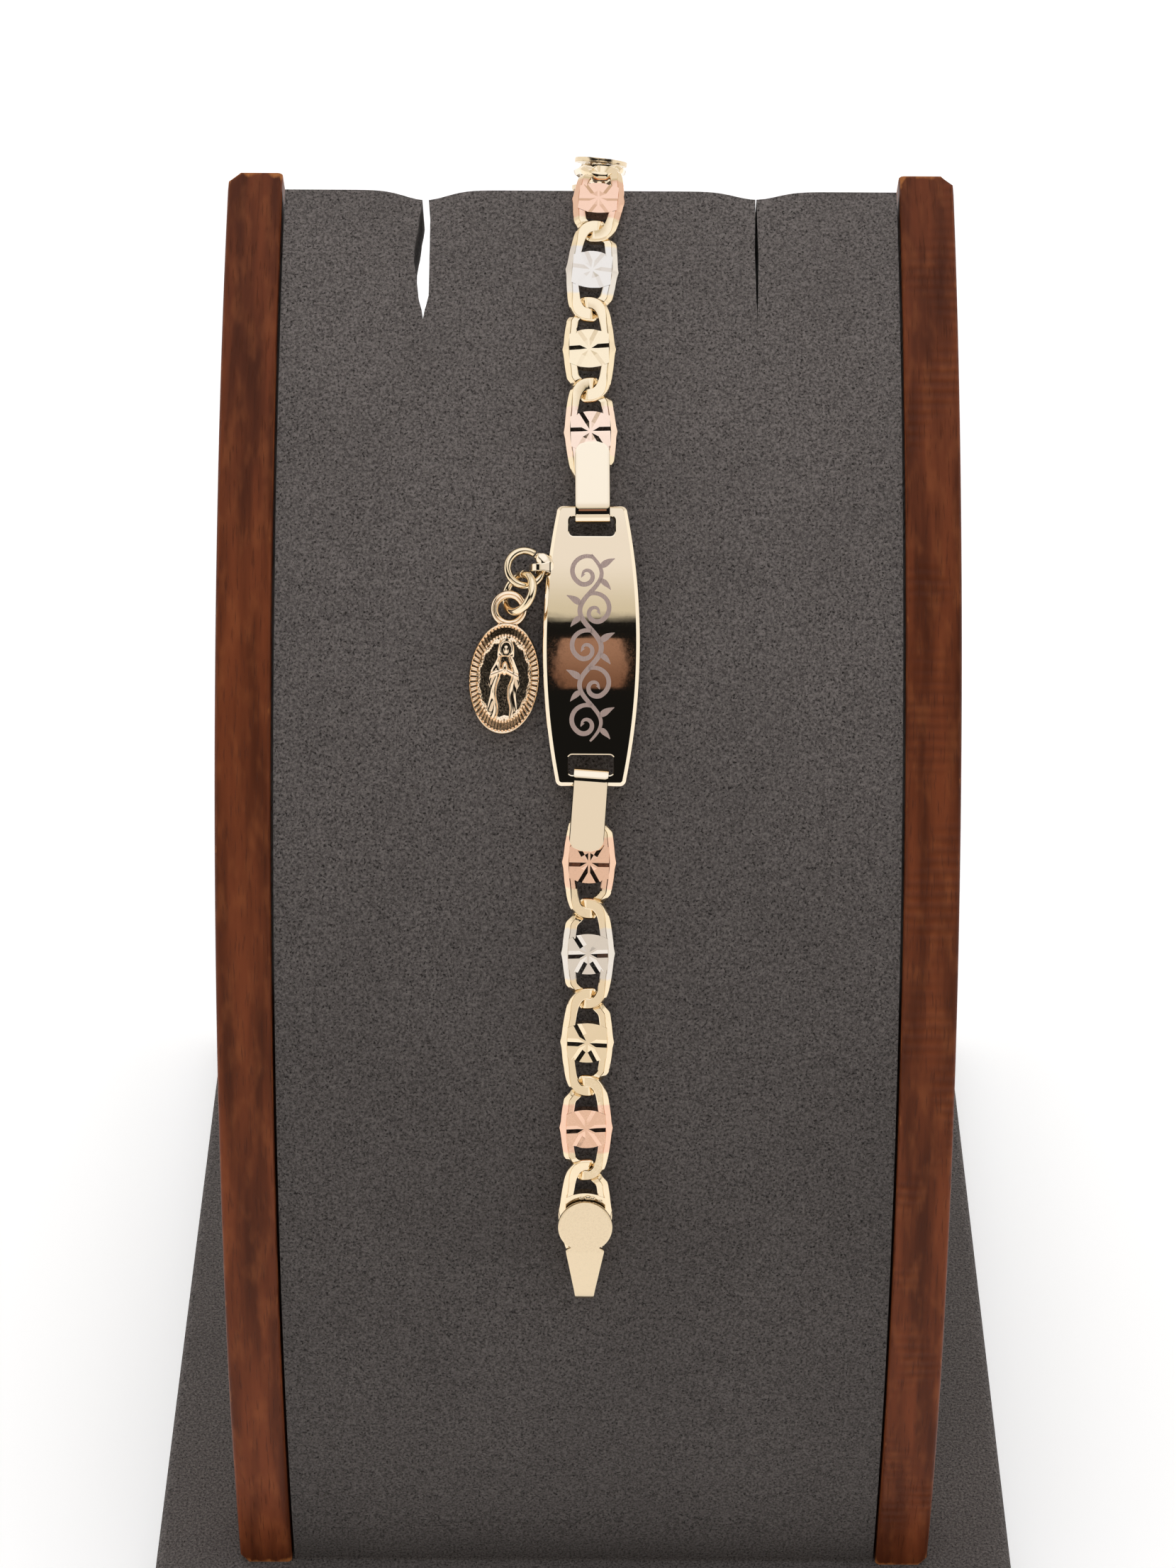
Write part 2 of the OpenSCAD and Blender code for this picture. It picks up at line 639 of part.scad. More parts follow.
clasp_eye_r = 1.5;
clasp_eye_hole_r = 0.75;
clasp_lift = 0.1;
module clasp_outline() {
    body_r = clasp_w / 2;
    top = -clasp_eye_r / 2 - 0.5 * clasp_eye_hole_r;
    bottom = clasp_eye_r - clasp_len + body_r;
    difference() {
        union() {
            circle(clasp_eye_r);
            translate([-body_r, bottom]) square([clasp_w, top - body_r - bottom]);
            translate([0, top - body_r]) circle(body_r);
            translate([0, bottom]) circle(body_r);
        }
        circle(clasp_eye_hole_r);
        translate([0, (top - body_r + bottom) / 2]) round_rect(0.44 * clasp_w, top - bottom, 0.2 * clasp_w);
    }
}
module clasp() color(gold)
    clasp_hang()
        translate([0, 0, clasp_lift - 2 * clasp_ring_r])
            rotate([90, 0, 90])
                linear_extrude(clasp_t, center = true) clasp_outline();
base_board();
back_panel();
rail_left();
rail_right();
nameplate();
strap_upper();
link_upper_1();
link_upper_2();
link_upper_3();
cap_upper();
strap_lower();
link_lower_1();
link_lower_2();
link_lower_3();
cap_lower();
jump_ring_1();
jump_ring_2();
medal();
clasp_ring();
clasp();
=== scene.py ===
import math

import bmesh
import bpy
from mathutils import Matrix, Vector, noise


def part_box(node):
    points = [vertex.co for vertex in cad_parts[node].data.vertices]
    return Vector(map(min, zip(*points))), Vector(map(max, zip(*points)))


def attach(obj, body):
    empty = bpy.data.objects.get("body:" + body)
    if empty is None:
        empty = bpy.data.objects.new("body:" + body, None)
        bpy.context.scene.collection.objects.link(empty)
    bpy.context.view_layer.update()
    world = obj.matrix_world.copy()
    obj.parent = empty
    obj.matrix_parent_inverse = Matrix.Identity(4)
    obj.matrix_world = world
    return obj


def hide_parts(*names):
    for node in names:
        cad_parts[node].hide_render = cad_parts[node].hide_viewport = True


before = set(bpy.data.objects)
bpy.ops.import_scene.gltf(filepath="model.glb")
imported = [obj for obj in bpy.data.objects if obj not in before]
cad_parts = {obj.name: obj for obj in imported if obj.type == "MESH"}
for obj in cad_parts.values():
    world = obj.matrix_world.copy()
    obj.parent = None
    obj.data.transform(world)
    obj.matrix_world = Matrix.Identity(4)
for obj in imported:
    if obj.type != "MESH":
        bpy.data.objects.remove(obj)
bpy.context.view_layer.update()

scene = bpy.context.scene
mm = 0.001
noise.seed_set(5)  # without it noise_vector takes its offsets from the clock

# camera, at the photograph's viewing angle
view = {"place": (-0.4, -310.8, 332.6), "down": 38.08, "turn": -0.08, "roll": 0.34, "lens": 80.15}


def makeCamera():
    data = bpy.data.cameras.new("viewCamera")
    data.lens = view["lens"]
    data.sensor_width = 36
    data.clip_start, data.clip_end = 0.01, 20
    turn = Matrix.Rotation(math.radians(view["turn"]), 3, "Z")
    turn = turn @ Matrix.Rotation(-math.radians(view["down"]), 3, "X")
    right, ahead, up = turn @ Vector((1, 0, 0)), turn @ Vector((0, 1, 0)), turn @ Vector((0, 0, 1))
    c, s = math.cos(math.radians(view["roll"])), math.sin(math.radians(view["roll"]))
    right, up = right * c + up * s, up * c - right * s
    camera = bpy.data.objects.new("viewCamera", data)
    facing = Matrix((right, up, -ahead)).transposed().to_4x4()
    camera.matrix_world = Matrix.Translation(Vector(view["place"]) * mm) @ facing
    scene.collection.objects.link(camera)
    scene.camera = camera


makeCamera()
scene.view_settings.view_transform = "Standard"
scene.view_settings.look = "None"
print("camera set")

# studio: a white room, warmer below, with a dark gap where the camera stands, as polished metal shows it
studio = {
    "top": (1.04, 1.08, 1.16), "high": (0.88, 0.86, 0.86), "low": (0.84, 0.79, 0.73),
    "edge": (0.66, 0.62, 0.52), "gap": 0.008, "patchTop": (0.34, 0.19, 0.135),
    "patchFoot": (0.2, 0.1, 0.065), "foot": (0.05, 0.035, 0.02), "sides": (1.04, 1.03, 1.0),
    "gapHalfWidth": 0.7, "gapFrom": 0.519, "gapTo": 0.7475, "shoulder": 0.25, "patchX": 0.002,
    "patchHalfWidth": 0.0098, "patchFrom": 0.666, "patchMiddle": 0.696, "patchTo": 0.7275, "ripple": 0.012,
    "lampPlace": (0, 0.3, 1.6), "lampSize": 0.7, "lampPower": 2.2,
}


def addNode(tree, kind, **settings):
    node = tree.nodes.new(kind)
    for name, value in settings.items():
        setattr(node, name, value)
    return node


# a value for a socket: a number, a colour or another node's output
def feed(tree, socket, value):
    if isinstance(value, tuple):
        socket.default_value = (*value, 1)
    elif isinstance(value, (int, float)):
        socket.default_value = value
    else:
        tree.links.new(value, socket)


def mathNode(tree, how, *values):
    node = addNode(tree, "ShaderNodeMath", operation=how)
    for socket, value in zip(node.inputs, values):
        feed(tree, socket, value)
    return node.outputs[0]


def times(tree, *values):
    product = values[0]
    for value in values[1:]:
        product = mathNode(tree, "MULTIPLY", product, value)
    return product


def noiseNode(tree, vector, scale, detail=2):
    node = addNode(tree, "ShaderNodeTexNoise")
    feed(tree, node.inputs["Vector"], vector)
    feed(tree, node.inputs["Scale"], scale)
    node.inputs["Detail"].default_value = detail
    return node


def stepNode(tree, value, low, high, outLow=0.0, outHigh=1.0):
    node = addNode(tree, "ShaderNodeMapRange", interpolation_type="SMOOTHSTEP")
    tree.links.new(value, node.inputs["Value"])
    for name, number in (("From Min", low), ("From Max", high), ("To Min", outLow), ("To Max", outHigh)):
        node.inputs[name].default_value = number
    return node.outputs["Result"]


def mixColour(tree, factor, first, second):
    node = addNode(tree, "ShaderNodeMix", data_type="RGBA")
    for socket, value in zip((node.inputs[0], node.inputs[6], node.inputs[7]), (factor, first, second)):
        feed(tree, socket, value)
    return node.outputs[2]


def makeStudio():
    world = bpy.data.worlds.new("studio")
    scene.world = world
    world.use_nodes = True
    tree = world.node_tree
    tree.nodes.clear()
    where = addNode(tree, "ShaderNodeTexCoord")
    split = addNode(tree, "ShaderNodeSeparateXYZ")
    tree.links.new(where.outputs["Generated"], split.inputs[0])
    x, y, z = split.outputs
    # the border of the gap ripples a little, as on metal that isn't quite flat
    bumpy = noiseNode(tree, where.outputs["Generated"], 90, 4).outputs["Fac"]
    level = mathNode(tree, "SUBTRACT", z, studio["ripple"] / 2)
    edge = mathNode(tree, "MULTIPLY_ADD", bumpy, studio["ripple"], level)
    aside = mathNode(tree, "ABSOLUTE", x)
    beside = stepNode(tree, aside, studio["gapHalfWidth"], studio["gapHalfWidth"] + 0.12, 1, 0)
    above = stepNode(tree, edge, studio["gapTo"] - 0.006, studio["gapTo"] + 0.006, 1, 0)
    # the gap is wider below, as a person is
    shoulder = stepNode(tree, aside, 0.25, 0.5, 0.0, studio["shoulder"])
    below = mathNode(tree, "ADD", z, shoulder)
    below = stepNode(tree, below, studio["gapFrom"] - 0.004, studio["gapFrom"] + 0.004)
    front = stepNode(tree, y, -0.1, 0.1, 1, 0)
    gap = times(tree, beside, above, below, front)
    # a brown patch with round corners stands in the gap, and a second one near its foot
    fromMiddle = mathNode(tree, "ABSOLUTE", mathNode(tree, "SUBTRACT", edge, studio["patchMiddle"]))
    corner = times(tree, mathNode(tree, "POWER", fromMiddle, 2), 2.6)
    fromSide = mathNode(tree, "ABSOLUTE", mathNode(tree, "SUBTRACT", x, studio["patchX"]))
    reach = mathNode(tree, "ADD", fromSide, corner)
    across = stepNode(tree, reach, studio["patchHalfWidth"], studio["patchHalfWidth"] + 0.001, 1, 0)
    within = times(tree, stepNode(tree, edge, studio["patchFrom"], studio["patchFrom"] + 0.003),
                   stepNode(tree, edge, studio["patchTo"] - 0.004, studio["patchTo"], 1, 0))
    nearFoot = times(tree, stepNode(tree, edge, 0.585, 0.6), stepNode(tree, edge, 0.615, 0.63, 1, 0))
    tone = mixColour(tree, stepNode(tree, z, 0.4, 0.8), studio["low"], studio["high"])
    warm = times(tree, stepNode(tree, z, 0.75, 0.81, 1, 0), stepNode(tree, z, 0.6, 0.7))
    tone = mixColour(tree, warm, tone, studio["edge"])
    tone = mixColour(tree, stepNode(tree, z, 0.82, 0.92), tone, studio["top"])
    tone = mixColour(tree, stepNode(tree, aside, 0.74, 0.86), tone, studio["sides"])
    tone = mixColour(tree, gap, tone, (studio["gap"],) * 3)
    tone = mixColour(tree, times(tree, across, nearFoot, front), tone, studio["foot"])
    brown = mixColour(tree, stepNode(tree, z, 0.67, 0.72), studio["patchFoot"], studio["patchTop"])
    tone = mixColour(tree, times(tree, across, within, front), tone, brown)
    shine = addNode(tree, "ShaderNodeBackground")
    tree.links.new(tone, shine.inputs["Color"])
    out = addNode(tree, "ShaderNodeOutputWorld")
    tree.links.new(shine.outputs[0], out.inputs[0])
    data = bpy.data.lights.new("overheadLight", "AREA")
    data.size = studio["lampSize"]
    data.energy = studio["lampPower"]
    lamp = bpy.data.objects.new("overheadLight", data)
    lamp.location = studio["lampPlace"]
    lamp.visible_glossy = False  # polished metal would show its hard edge
    scene.collection.objects.link(lamp)


makeStudio()


def newMaterial(name, **sockets):
    material = bpy.data.materials.new(name)
    material.use_nodes = True
    tree = material.node_tree
    shader = tree.nodes["Principled BSDF"]
    for socket, value in sockets.items():
        shader.inputs[socket.replace("_", " ")].default_value = value
    return material, tree, shader


def makeFloor():
    bm = bmesh.new()
    bmesh.ops.create_grid(bm, x_segments=1, y_segments=1, size=3)
    mesh = bpy.data.meshes.new("floor")
    bm.to_mesh(mesh)
    bm.free()
    floor = bpy.data.objects.new("floor", mesh)
    floor.location = (0, 0, -0.0002)
    scene.collection.objects.link(floor)
    material, tree, shader = newMaterial("paleFloor", Base_Color=(0.93, 0.93, 0.93, 1), Roughness=0.9)
    shader.inputs["Emission Color"].default_value = (1, 1, 1, 1)
    shader.inputs["Emission Strength"].default_value = 0.32
    mesh.materials.append(material)


makeFloor()
print("studio set")

# where things lie on the curved face: millimetres, s up along the face, x across, h out of it
stand = {
    "arcR": 158.5, "axisY": 112.5, "boardT": 10, "boardW": 100, "boardD": 112, "boardEdge": 1.3,
    "panelLen": 165, "panelW": 67.4, "panelT": 6.5, "slitX": 18.2, "slitLen": 15.5, "slitLeftW": 2.3,
    "slitRightW": 0.4, "railW": 6, "railT": 8, "railProud": 0.4, "railOver": 1.8, "width": 80,
}


def onFace(s, x=0.0, h=0.0):
    a, r = s / stand["arcR"], stand["arcR"] + h
    return Vector((x, stand["axisY"] - r * math.cos(a), stand["boardT"] + r * math.sin(a)))


def facePlace(s, x=0.0, h=0.0, lean=0.0):
    return (moved(0, stand["axisY"], stand["boardT"])
            @ Matrix.Rotation(math.pi / 2 - s / stand["arcR"], 4, "X")
            @ moved(x, 0, stand["arcR"] + h) @ turnedOn("Z", lean))


def ease(a):
    t = min(1.0, max(0.0, a))
    return t * t * (3 - 2 * t)


def signedPow(a, p):
    return math.copysign(abs(a) ** p, a)


def moved(x=0.0, y=0.0, z=0.0):
    return Matrix.Translation((x, y, z))


def turnedOn(axis, degrees):
    return Matrix.Rotation(math.radians(degrees), 4, axis)


# joins points in a row, or all the way round
def addLine(bm, points, closed=False):
    verts = [bm.verts.new(point) for point in points]
    following = verts[1:] + verts[:1] if closed else verts[1:]
    return [bm.edges.new(pair) for pair in zip(verts, following)]


def spinAround(bm, steps, degrees=360):
    bmesh.ops.spin(bm, geom=bm.verts[:] + bm.edges[:], cent=(0, 0, 0), axis=(0, 0, 1),
                   angle=math.radians(degrees), steps=steps, use_merge=degrees == 360)


def closeHoles(bm):
    bmesh.ops.holes_fill(bm, edges=[e for e in bm.edges if e.is_boundary], sides=0)


def roundEdges(bm, edges, offset, segments):
    bmesh.ops.bevel(bm, geom=edges, offset=offset, offset_type="OFFSET", segments=segments, profile=0.5,
                    affect="EDGES", material=-1, clamp_overlap=True)


def foldAngle(edge):
    return math.degrees(edge.calc_face_angle(0))


# puts one mesh into another, and empties the first
def joinInto(bm, part):
    mesh = bpy.data.meshes.new("part")
    part.to_mesh(mesh)
    part.free()
    bm.from_mesh(mesh)
    bpy.data.meshes.remove(mesh)


def finishPiece(bm, name, materials, nodes, sharp=35):
    bmesh.ops.remove_doubles(bm, verts=bm.verts, dist=0.0004)
    bmesh.ops.recalc_face_normals(bm, faces=bm.faces)
    for face in bm.faces:
        face.smooth = True
    for edge in bm.edges:
        if len(edge.link_faces) == 2 and foldAngle(edge) > sharp:
            edge.smooth = False
    bm.transform(Matrix.Scale(mm, 4))
    mesh = bpy.data.meshes.new(name)
    bm.to_mesh(mesh)
    bm.free()
    piece = bpy.data.objects.new(name, mesh)
    for material in materials:
        mesh.materials.append(material)
    scene.collection.objects.link(piece)
    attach(piece, "root")
    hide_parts(*nodes)
    print("made", name, len(mesh.polygons), "faces")
    return piece


# shared effect: fine specks and mottling
def makeSpeckleGroup():
    group = bpy.data.node_groups.new("speckle", "ShaderNodeTree")
    for name, kind, way, value in (
            ("Vector", "NodeSocketVector", "INPUT", None), ("Fine Scale", "NodeSocketFloat", "INPUT", 2600.0),
            ("Pit Scale", "NodeSocketFloat", "INPUT", 900.0), ("Fine", "NodeSocketFloat", "OUTPUT", None),
            ("Pits", "NodeSocketFloat", "OUTPUT", None), ("Mottle", "NodeSocketFloat", "OUTPUT", None)):
        socket = group.interface.new_socket(name=name, in_out=way, socket_type=kind)
        if value is not None:
            socket.default_value = value
    inside, outside = addNode(group, "NodeGroupInput"), addNode(group, "NodeGroupOutput")
    where = inside.outputs["Vector"]
    fine = noiseNode(group, where, inside.outputs["Fine Scale"], 4)
    fine.inputs["Roughness"].default_value = 0.7
    pits = noiseNode(group, where, inside.outputs["Pit Scale"])
    mottle = noiseNode(group, where, 70, 3)
    group.links.new(stepNode(group, fine.outputs["Fac"], 0.3, 0.7), outside.inputs["Fine"])
    group.links.new(stepNode(group, pits.outputs["Fac"], 0.58, 0.68), outside.inputs["Pits"])
    group.links.new(stepNode(group, mottle.outputs["Fac"], 0.3, 0.7), outside.inputs["Mottle"])
    return group


speckleGroup = makeSpeckleGroup()


def addSpeckle(tree, vector, fineScale, pitScale):
    node = addNode(tree, "ShaderNodeGroup")
    node.node_tree = speckleGroup
    tree.links.new(vector, node.inputs["Vector"])
    node.inputs["Fine Scale"].default_value = fineScale
    node.inputs["Pit Scale"].default_value = pitScale
    return node.outputs["Fine"], node.outputs["Pits"], node.outputs["Mottle"]


def addBump(tree, shader, height, distance, strength):
    node = addNode(tree, "ShaderNodeBump")
    node.inputs["Strength"].default_value = strength
    node.inputs["Distance"].default_value = distance
    tree.links.new(height, node.inputs["Height"])
    tree.links.new(node.outputs[0], shader.inputs["Normal"])


def objectPlace(tree):
    return addNode(tree, "ShaderNodeTexCoord").outputs["Object"]


suedeLook = {"dark": (0.022, 0.019, 0.018), "mid": (0.050, 0.044, 0.042), "light": (0.172, 0.153, 0.145)}


def makeSuede():
    material, tree, shader = newMaterial("suede", Roughness=0.95, Specular_IOR_Level=0.05)
    shader.inputs["Sheen Weight"].default_value = 0.06
    shader.inputs["Sheen Roughness"].default_value = 0.5
    where = objectPlace(tree)
    fine, pits, mottle = addSpeckle(tree, where, 3500, 4200)
    tone = mixColour(tree, fine, suedeLook["mid"], suedeLook["light"])
    tone = mixColour(tree, times(tree, mottle, 0.15), tone, suedeLook["mid"])
    tone = mixColour(tree, times(tree, pits, 0.95), tone, suedeLook["dark"])
    # painted light: the suede's colour is made lighter towards the top of the curve, and on the board
    split = addNode(tree, "ShaderNodeSeparateXYZ")
    tree.links.new(where, split.inputs[0])
    high = split.outputs[2]
    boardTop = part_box("base_board")[1][2]
    lift = mathNode(tree, "ADD", stepNode(tree, high, 0.0, 0.03, 0.84, 0.98),
                    stepNode(tree, high, 0.05, 0.15, 0.0, 0.62))
    lift = mathNode(tree, "ADD", lift, stepNode(tree, high, boardTop, boardTop + 0.0005, 0.4, 0.0))
    paintedLightScale = addNode(tree, "ShaderNodeVectorMath", operation="SCALE")
    tree.links.new(tone, paintedLightScale.inputs[0])
    tree.links.new(lift, paintedLightScale.inputs["Scale"])
    tone = paintedLightScale.outputs[0]
    tree.links.new(tone, shader.inputs["Base Color"])
    height = mathNode(tree, "SUBTRACT", fine, times(tree, pits, 1.4))
    addBump(tree, shader, height, 0.00012, 0.7)
    return material


suede = makeSuede()

woodLook = {
    "dark": (0.074, 0.018, 0.0065), "mid": (0.19, 0.047, 0.016), "light": (0.31, 0.094, 0.031),
    "worn": (0.44, 0.155, 0.045),
}


# UV holds the way round the bar and the way along it, in tenths of a metre
def makeWood(name, sawn):
    material, tree, shader = newMaterial(name, Roughness=0.42, Specular_IOR_Level=0.12)
    where = addNode(tree, "ShaderNodeUVMap", uv_map="alongBar").outputs[0]

    def stretched(acrossScale, alongScale, detail, turn=0.0):
        mapping = addNode(tree, "ShaderNodeMapping")
        mapping.inputs["Scale"].default_value = (acrossScale, alongScale, 1)
        mapping.inputs["Rotation"].default_value = (0, 0, math.radians(turn))
        tree.links.new(where, mapping.inputs["Vector"])
        return noiseNode(tree, mapping.outputs[0], 1, detail).outputs["Fac"]

    bands = stepNode(tree, stretched(38, 3.2, 3), 0.32, 0.68)
    figure = stepNode(tree, stretched(60, 22, 2, 35), 0.45, 0.75)
    pores = stepNode(tree, stretched(420, 34, 3), 0.56, 0.72)
    tone = mixColour(tree, bands, woodLook["dark"], woodLook["mid"])
    tone = mixColour(tree, times(tree, figure, 0.35), tone, woodLook["light"])
    tone = mixColour(tree, times(tree, pores, 0.55), tone, woodLook["dark"])
    wear = addNode(tree, "ShaderNodeAttribute", attribute_name="wear").outputs["Fac"]
    rubbed = mathNode(tree, "MULTIPLY_ADD", stretched(90, 40, 4), 0.9, times(tree, wear, 0.75))
    tone = mixColour(tree, stepNode(tree, rubbed, 0.86, 1.12), tone, woodLook["worn"])
    height = times(tree, pores, -0.8)
    if sawn:
        lines = addNode(tree, "ShaderNodeTexWave", wave_type="BANDS", bands_direction="Y")
        lines.inputs["Scale"].default_value = 26
        lines.inputs["Distortion"].default_value = 1.2
        lines.inputs["Detail"].default_value = 2
        tree.links.new(where, lines.inputs["Vector"])
        marked = times(tree, lines.outputs["Fac"], stepNode(tree, stretched(10, 9, 1), 0.45, 0.62))
        height = mathNode(tree, "MULTIPLY_ADD", marked, -0.9, height)
        tone = mixColour(tree, times(tree, marked, 0.35), tone, woodLook["dark"])
    tree.links.new(tone, shader.inputs["Base Color"])
    addBump(tree, shader, height, 0.00012, 0.6)
    return material


# the pale copies of gold and rose gold are painted highlight: the same metals, made paler to stand in for the
# washed-out shine of brightly lit parts
metalLook = {
    "gold": (0.93, 0.77, 0.54), "paintedHighlightGold": (0.95, 0.82, 0.635), "charmGold": (0.95, 0.76, 0.56),
    "satin": (0.80, 0.65, 0.45), "roseGold": (0.91, 0.60, 0.44), "paintedHighlightRose": (0.95, 0.73, 0.58),
    "whiteGold": (0.81, 0.745, 0.67), "engravedDark": (0.60, 0.46, 0.42),
    "engravedLight": (0.72, 0.56, 0.50),
}


def makeMetal(name, colour, roughness=0.1, waves=0.3, grain=0.0):
    material, tree, shader = newMaterial(name, Metallic=1.0, Roughness=roughness, Base_Color=(*colour, 1))
    where = objectPlace(tree)
    wavy = noiseNode(tree, where, 420).outputs["Fac"]
    specks = noiseNode(tree, where, 5200, 3).outputs["Fac"]
    addBump(tree, shader, mathNode(tree, "MULTIPLY_ADD", specks, grain, wavy), 0.00006, waves)
    rough = stepNode(tree, specks, 0.35, 0.8, roughness * 0.7, roughness * 1.6)
    tree.links.new(rough, shader.inputs["Roughness"])
    return material


# millimetres of a link that the UV square spans
uvSpan = 20


# a link's metal: its own colour in the middle band and gold at both ends. UV holds the place on the link
def makePlated(name, colour, halfBand=2.95):
    material = makeMetal(name, metalLook["gold"], 0.11)
    tree = material.node_tree
    shader = tree.nodes["Principled BSDF"]
    spot = addNode(tree, "ShaderNodeSeparateXYZ")
    tree.links.new(addNode(tree, "ShaderNodeUVMap", uv_map="onLink").outputs[0], spot.inputs[0])
    along = mathNode(tree, "ABSOLUTE", times(tree, mathNode(tree, "SUBTRACT", spot.outputs[1], 0.5), uvSpan))
    blotch = noiseNode(tree, objectPlace(tree), 900).outputs["Fac"]
    reach = mathNode(tree, "MULTIPLY_ADD", blotch, 0.7, along)
    plated = stepNode(tree, reach, halfBand, halfBand + 0.35, 1, 0)
    tree.links.new(mixColour(tree, plated, metalLook["gold"], colour), shader.inputs["Base Color"])
    return material


# the engraving's fine hatching stands in for a bare, scratched surface
def makeEngraved():
    material, tree, shader = newMaterial("engravedRose", Metallic=1.0, Roughness=0.5)
    hatch = addNode(tree, "ShaderNodeTexWave", wave_type="BANDS", bands_direction="X")
    hatch.inputs["Scale"].default_value = 2400
    hatch.inputs["Distortion"].default_value = 1.5
    hatch.inputs["Detail"].default_value = 1
    tree.links.new(objectPlace(tree), hatch.inputs["Vector"])
    addBump(tree, shader, hatch.outputs["Fac"], 0.00003, 0.5)
    tone = mixColour(tree, hatch.outputs["Fac"], metalLook["engravedDark"], metalLook["engravedLight"])
    tree.links.new(tone, shader.inputs["Base Color"])
    return material


gold = makeMetal("polishedGold", metalLook["gold"])
# painted highlight: a paler copy of the polished gold, for the straps' sheet and the nameplate
paintedHighlightGold = makeMetal("paintedHighlightGold", metalLook["paintedHighlightGold"], 0.025, 0.02)
charmGold = makeMetal("castGold", metalLook["charmGold"], 0.1, 0.15, 0.04)
satinGold = makeMetal("satinGold", metalLook["satin"], 0.18, 0.04, 0.02)
satinRose = makeEngraved()
roseLink = makePlated("roseOnGold", metalLook["roseGold"])
# painted highlight: a paler copy of the rose gold, for the upper strap's link
paintedHighlightRoseLink = makePlated("paintedHighlightRoseOnGold", metalLook["paintedHighlightRose"])
whiteLink = makePlated("whiteOnGold", metalLook["whiteGold"])
print("materials ready")


# the board, wrapped in suede
def makeBoard():
    bm = bmesh.new()
    bmesh.ops.create_cube(bm, size=1)
    bmesh.ops.scale(bm, vec=(stand["boardW"], stand["boardD"], stand["boardT"]), verts=bm.verts)
    bmesh.ops.translate(bm, vec=(0, 0, stand["boardT"] / 2), verts=bm.verts)
    roundEdges(bm, bm.edges[:], stand["boardEdge"], 5)
    finishPiece(bm, "suedeBoard", [suede], ["base_board"], 60)


makeBoard()

# the curved suede panel. Its slits are cut open, and the cloth round each one sinks a little
panel = {
    "columns": 84, "rows": 150, "edge": 0.9, "roll": 3.0, "sink": 1.5, "sinkWidth": 3.2, "sinkFrom": 0.86,
}
# for each slit: its place across, its opening, and the share of the sink beside it
slits = ((-stand["slitX"], stand["slitLeftW"], 0.7), (stand["slitX"], stand["slitRightW"], 0.55))


def slitHalf(down, opening):
    shares = ((0, 0.3), (0.2, 0.6), (0.45, 1), (0.75, 0.6), (1, 0.0))
    share = down / stand["slitLen"]
    for (a, wa), (b, wb) in zip(shares, shares[1:]):
        if a <= share <= b:
            return opening / 2 * (wa + (wb - wa) * ease((share - a) / (b - a)))
    return 0.0


def makePanel():
    bm = bmesh.new()
    bmesh.ops.create_grid(bm, x_segments=panel["columns"], y_segments=panel["rows"], size=0.5)
    halfW, length = stand["panelW"] / 2, stand["panelLen"]
    columnW = stand["panelW"] / panel["columns"]
    for vert in bm.verts:
        vert.co = Vector((vert.co.x * stand["panelW"], (vert.co.y + 0.5) * length, 0))
    for slitX, opening, sinkShare in slits:
        nearest = round((slitX + halfW) / columnW) * columnW - halfW
        for vert in bm.verts:
            if abs(vert.co.x - nearest) < 0.01:
                vert.co.x = slitX
        onSlit = [e for e in bm.edges if all(abs(v.co.x - slitX) < 0.01 for v in e.verts)]
        cutTop = [e for e in onSlit if max(v.co.y for v in e.verts) > length - stand["slitLen"] + 0.4]
        bmesh.ops.split_edges(bm, edges=cutTop)
    for face in bm.faces:
        middle = face.calc_center_median()
        for slitX, opening, sinkShare in slits:
            if abs(middle.x - slitX) < columnW:
                side = 1 if middle.x > slitX else -1
                for vert in face.verts:
                    down = length - vert.co.y
                    if abs(vert.co.x - slitX) < 0.01 and down < stand["slitLen"] - 0.4:
                        vert.co.x = slitX + side * max(0.012, slitHalf(down, opening))
    for vert in bm.verts:
        x, s = vert.co.x, vert.co.y
        towardsTop = ease((s / length - panel["sinkFrom"]) / (1 - panel["sinkFrom"]))
        low = sum(panel["sink"] * towardsTop * sinkShare * math.exp(-((x - slitX) / panel["sinkWidth"]) ** 2)
                  for slitX, opening, sinkShare in slits)
        vert.co = Vector((x, s - low, -0.35 * low))
    bmesh.ops.solidify(bm, geom=bm.faces[:], thickness=stand["panelT"])
    bmesh.ops.recalc_face_normals(bm, faces=bm.faces)
    lowest = min(vert.co.z for vert in bm.verts)
    if lowest > -1:  # the wall was laid on the other side
        bmesh.ops.translate(bm, vec=(0, 0, -stand["panelT"]), verts=bm.verts)
    weight = bm.edges.layers.float.new("bevel_weight_edge")
    for edge in bm.edges:
        if len(edge.link_faces) == 2 and foldAngle(edge) > 60:
            a, b = (vert.co for vert in edge.verts)
            top = min(a.y, b.y) > length - 4 and abs(a.x - b.x) > 0.3
            edge[weight] = 1.0 if top else panel["edge"] / panel["roll"]
    for vert in bm.verts:
        x, s, h = vert.co
        vert.co = onFace(s, x, h)
    piece = finishPiece(bm, "suedePanel", [suede], ["back_panel"], 80)
    soften = piece.modifiers.new("softEdges", "BEVEL")
    soften.width = panel["roll"] * mm
    soften.segments = 5
    soften.limit_method = "WEIGHT"
    return piece


makePanel()

rail = {"edge": 0.55, "endR": 1.4, "footR": 1.0, "worn": 1.2, "steps": 170}


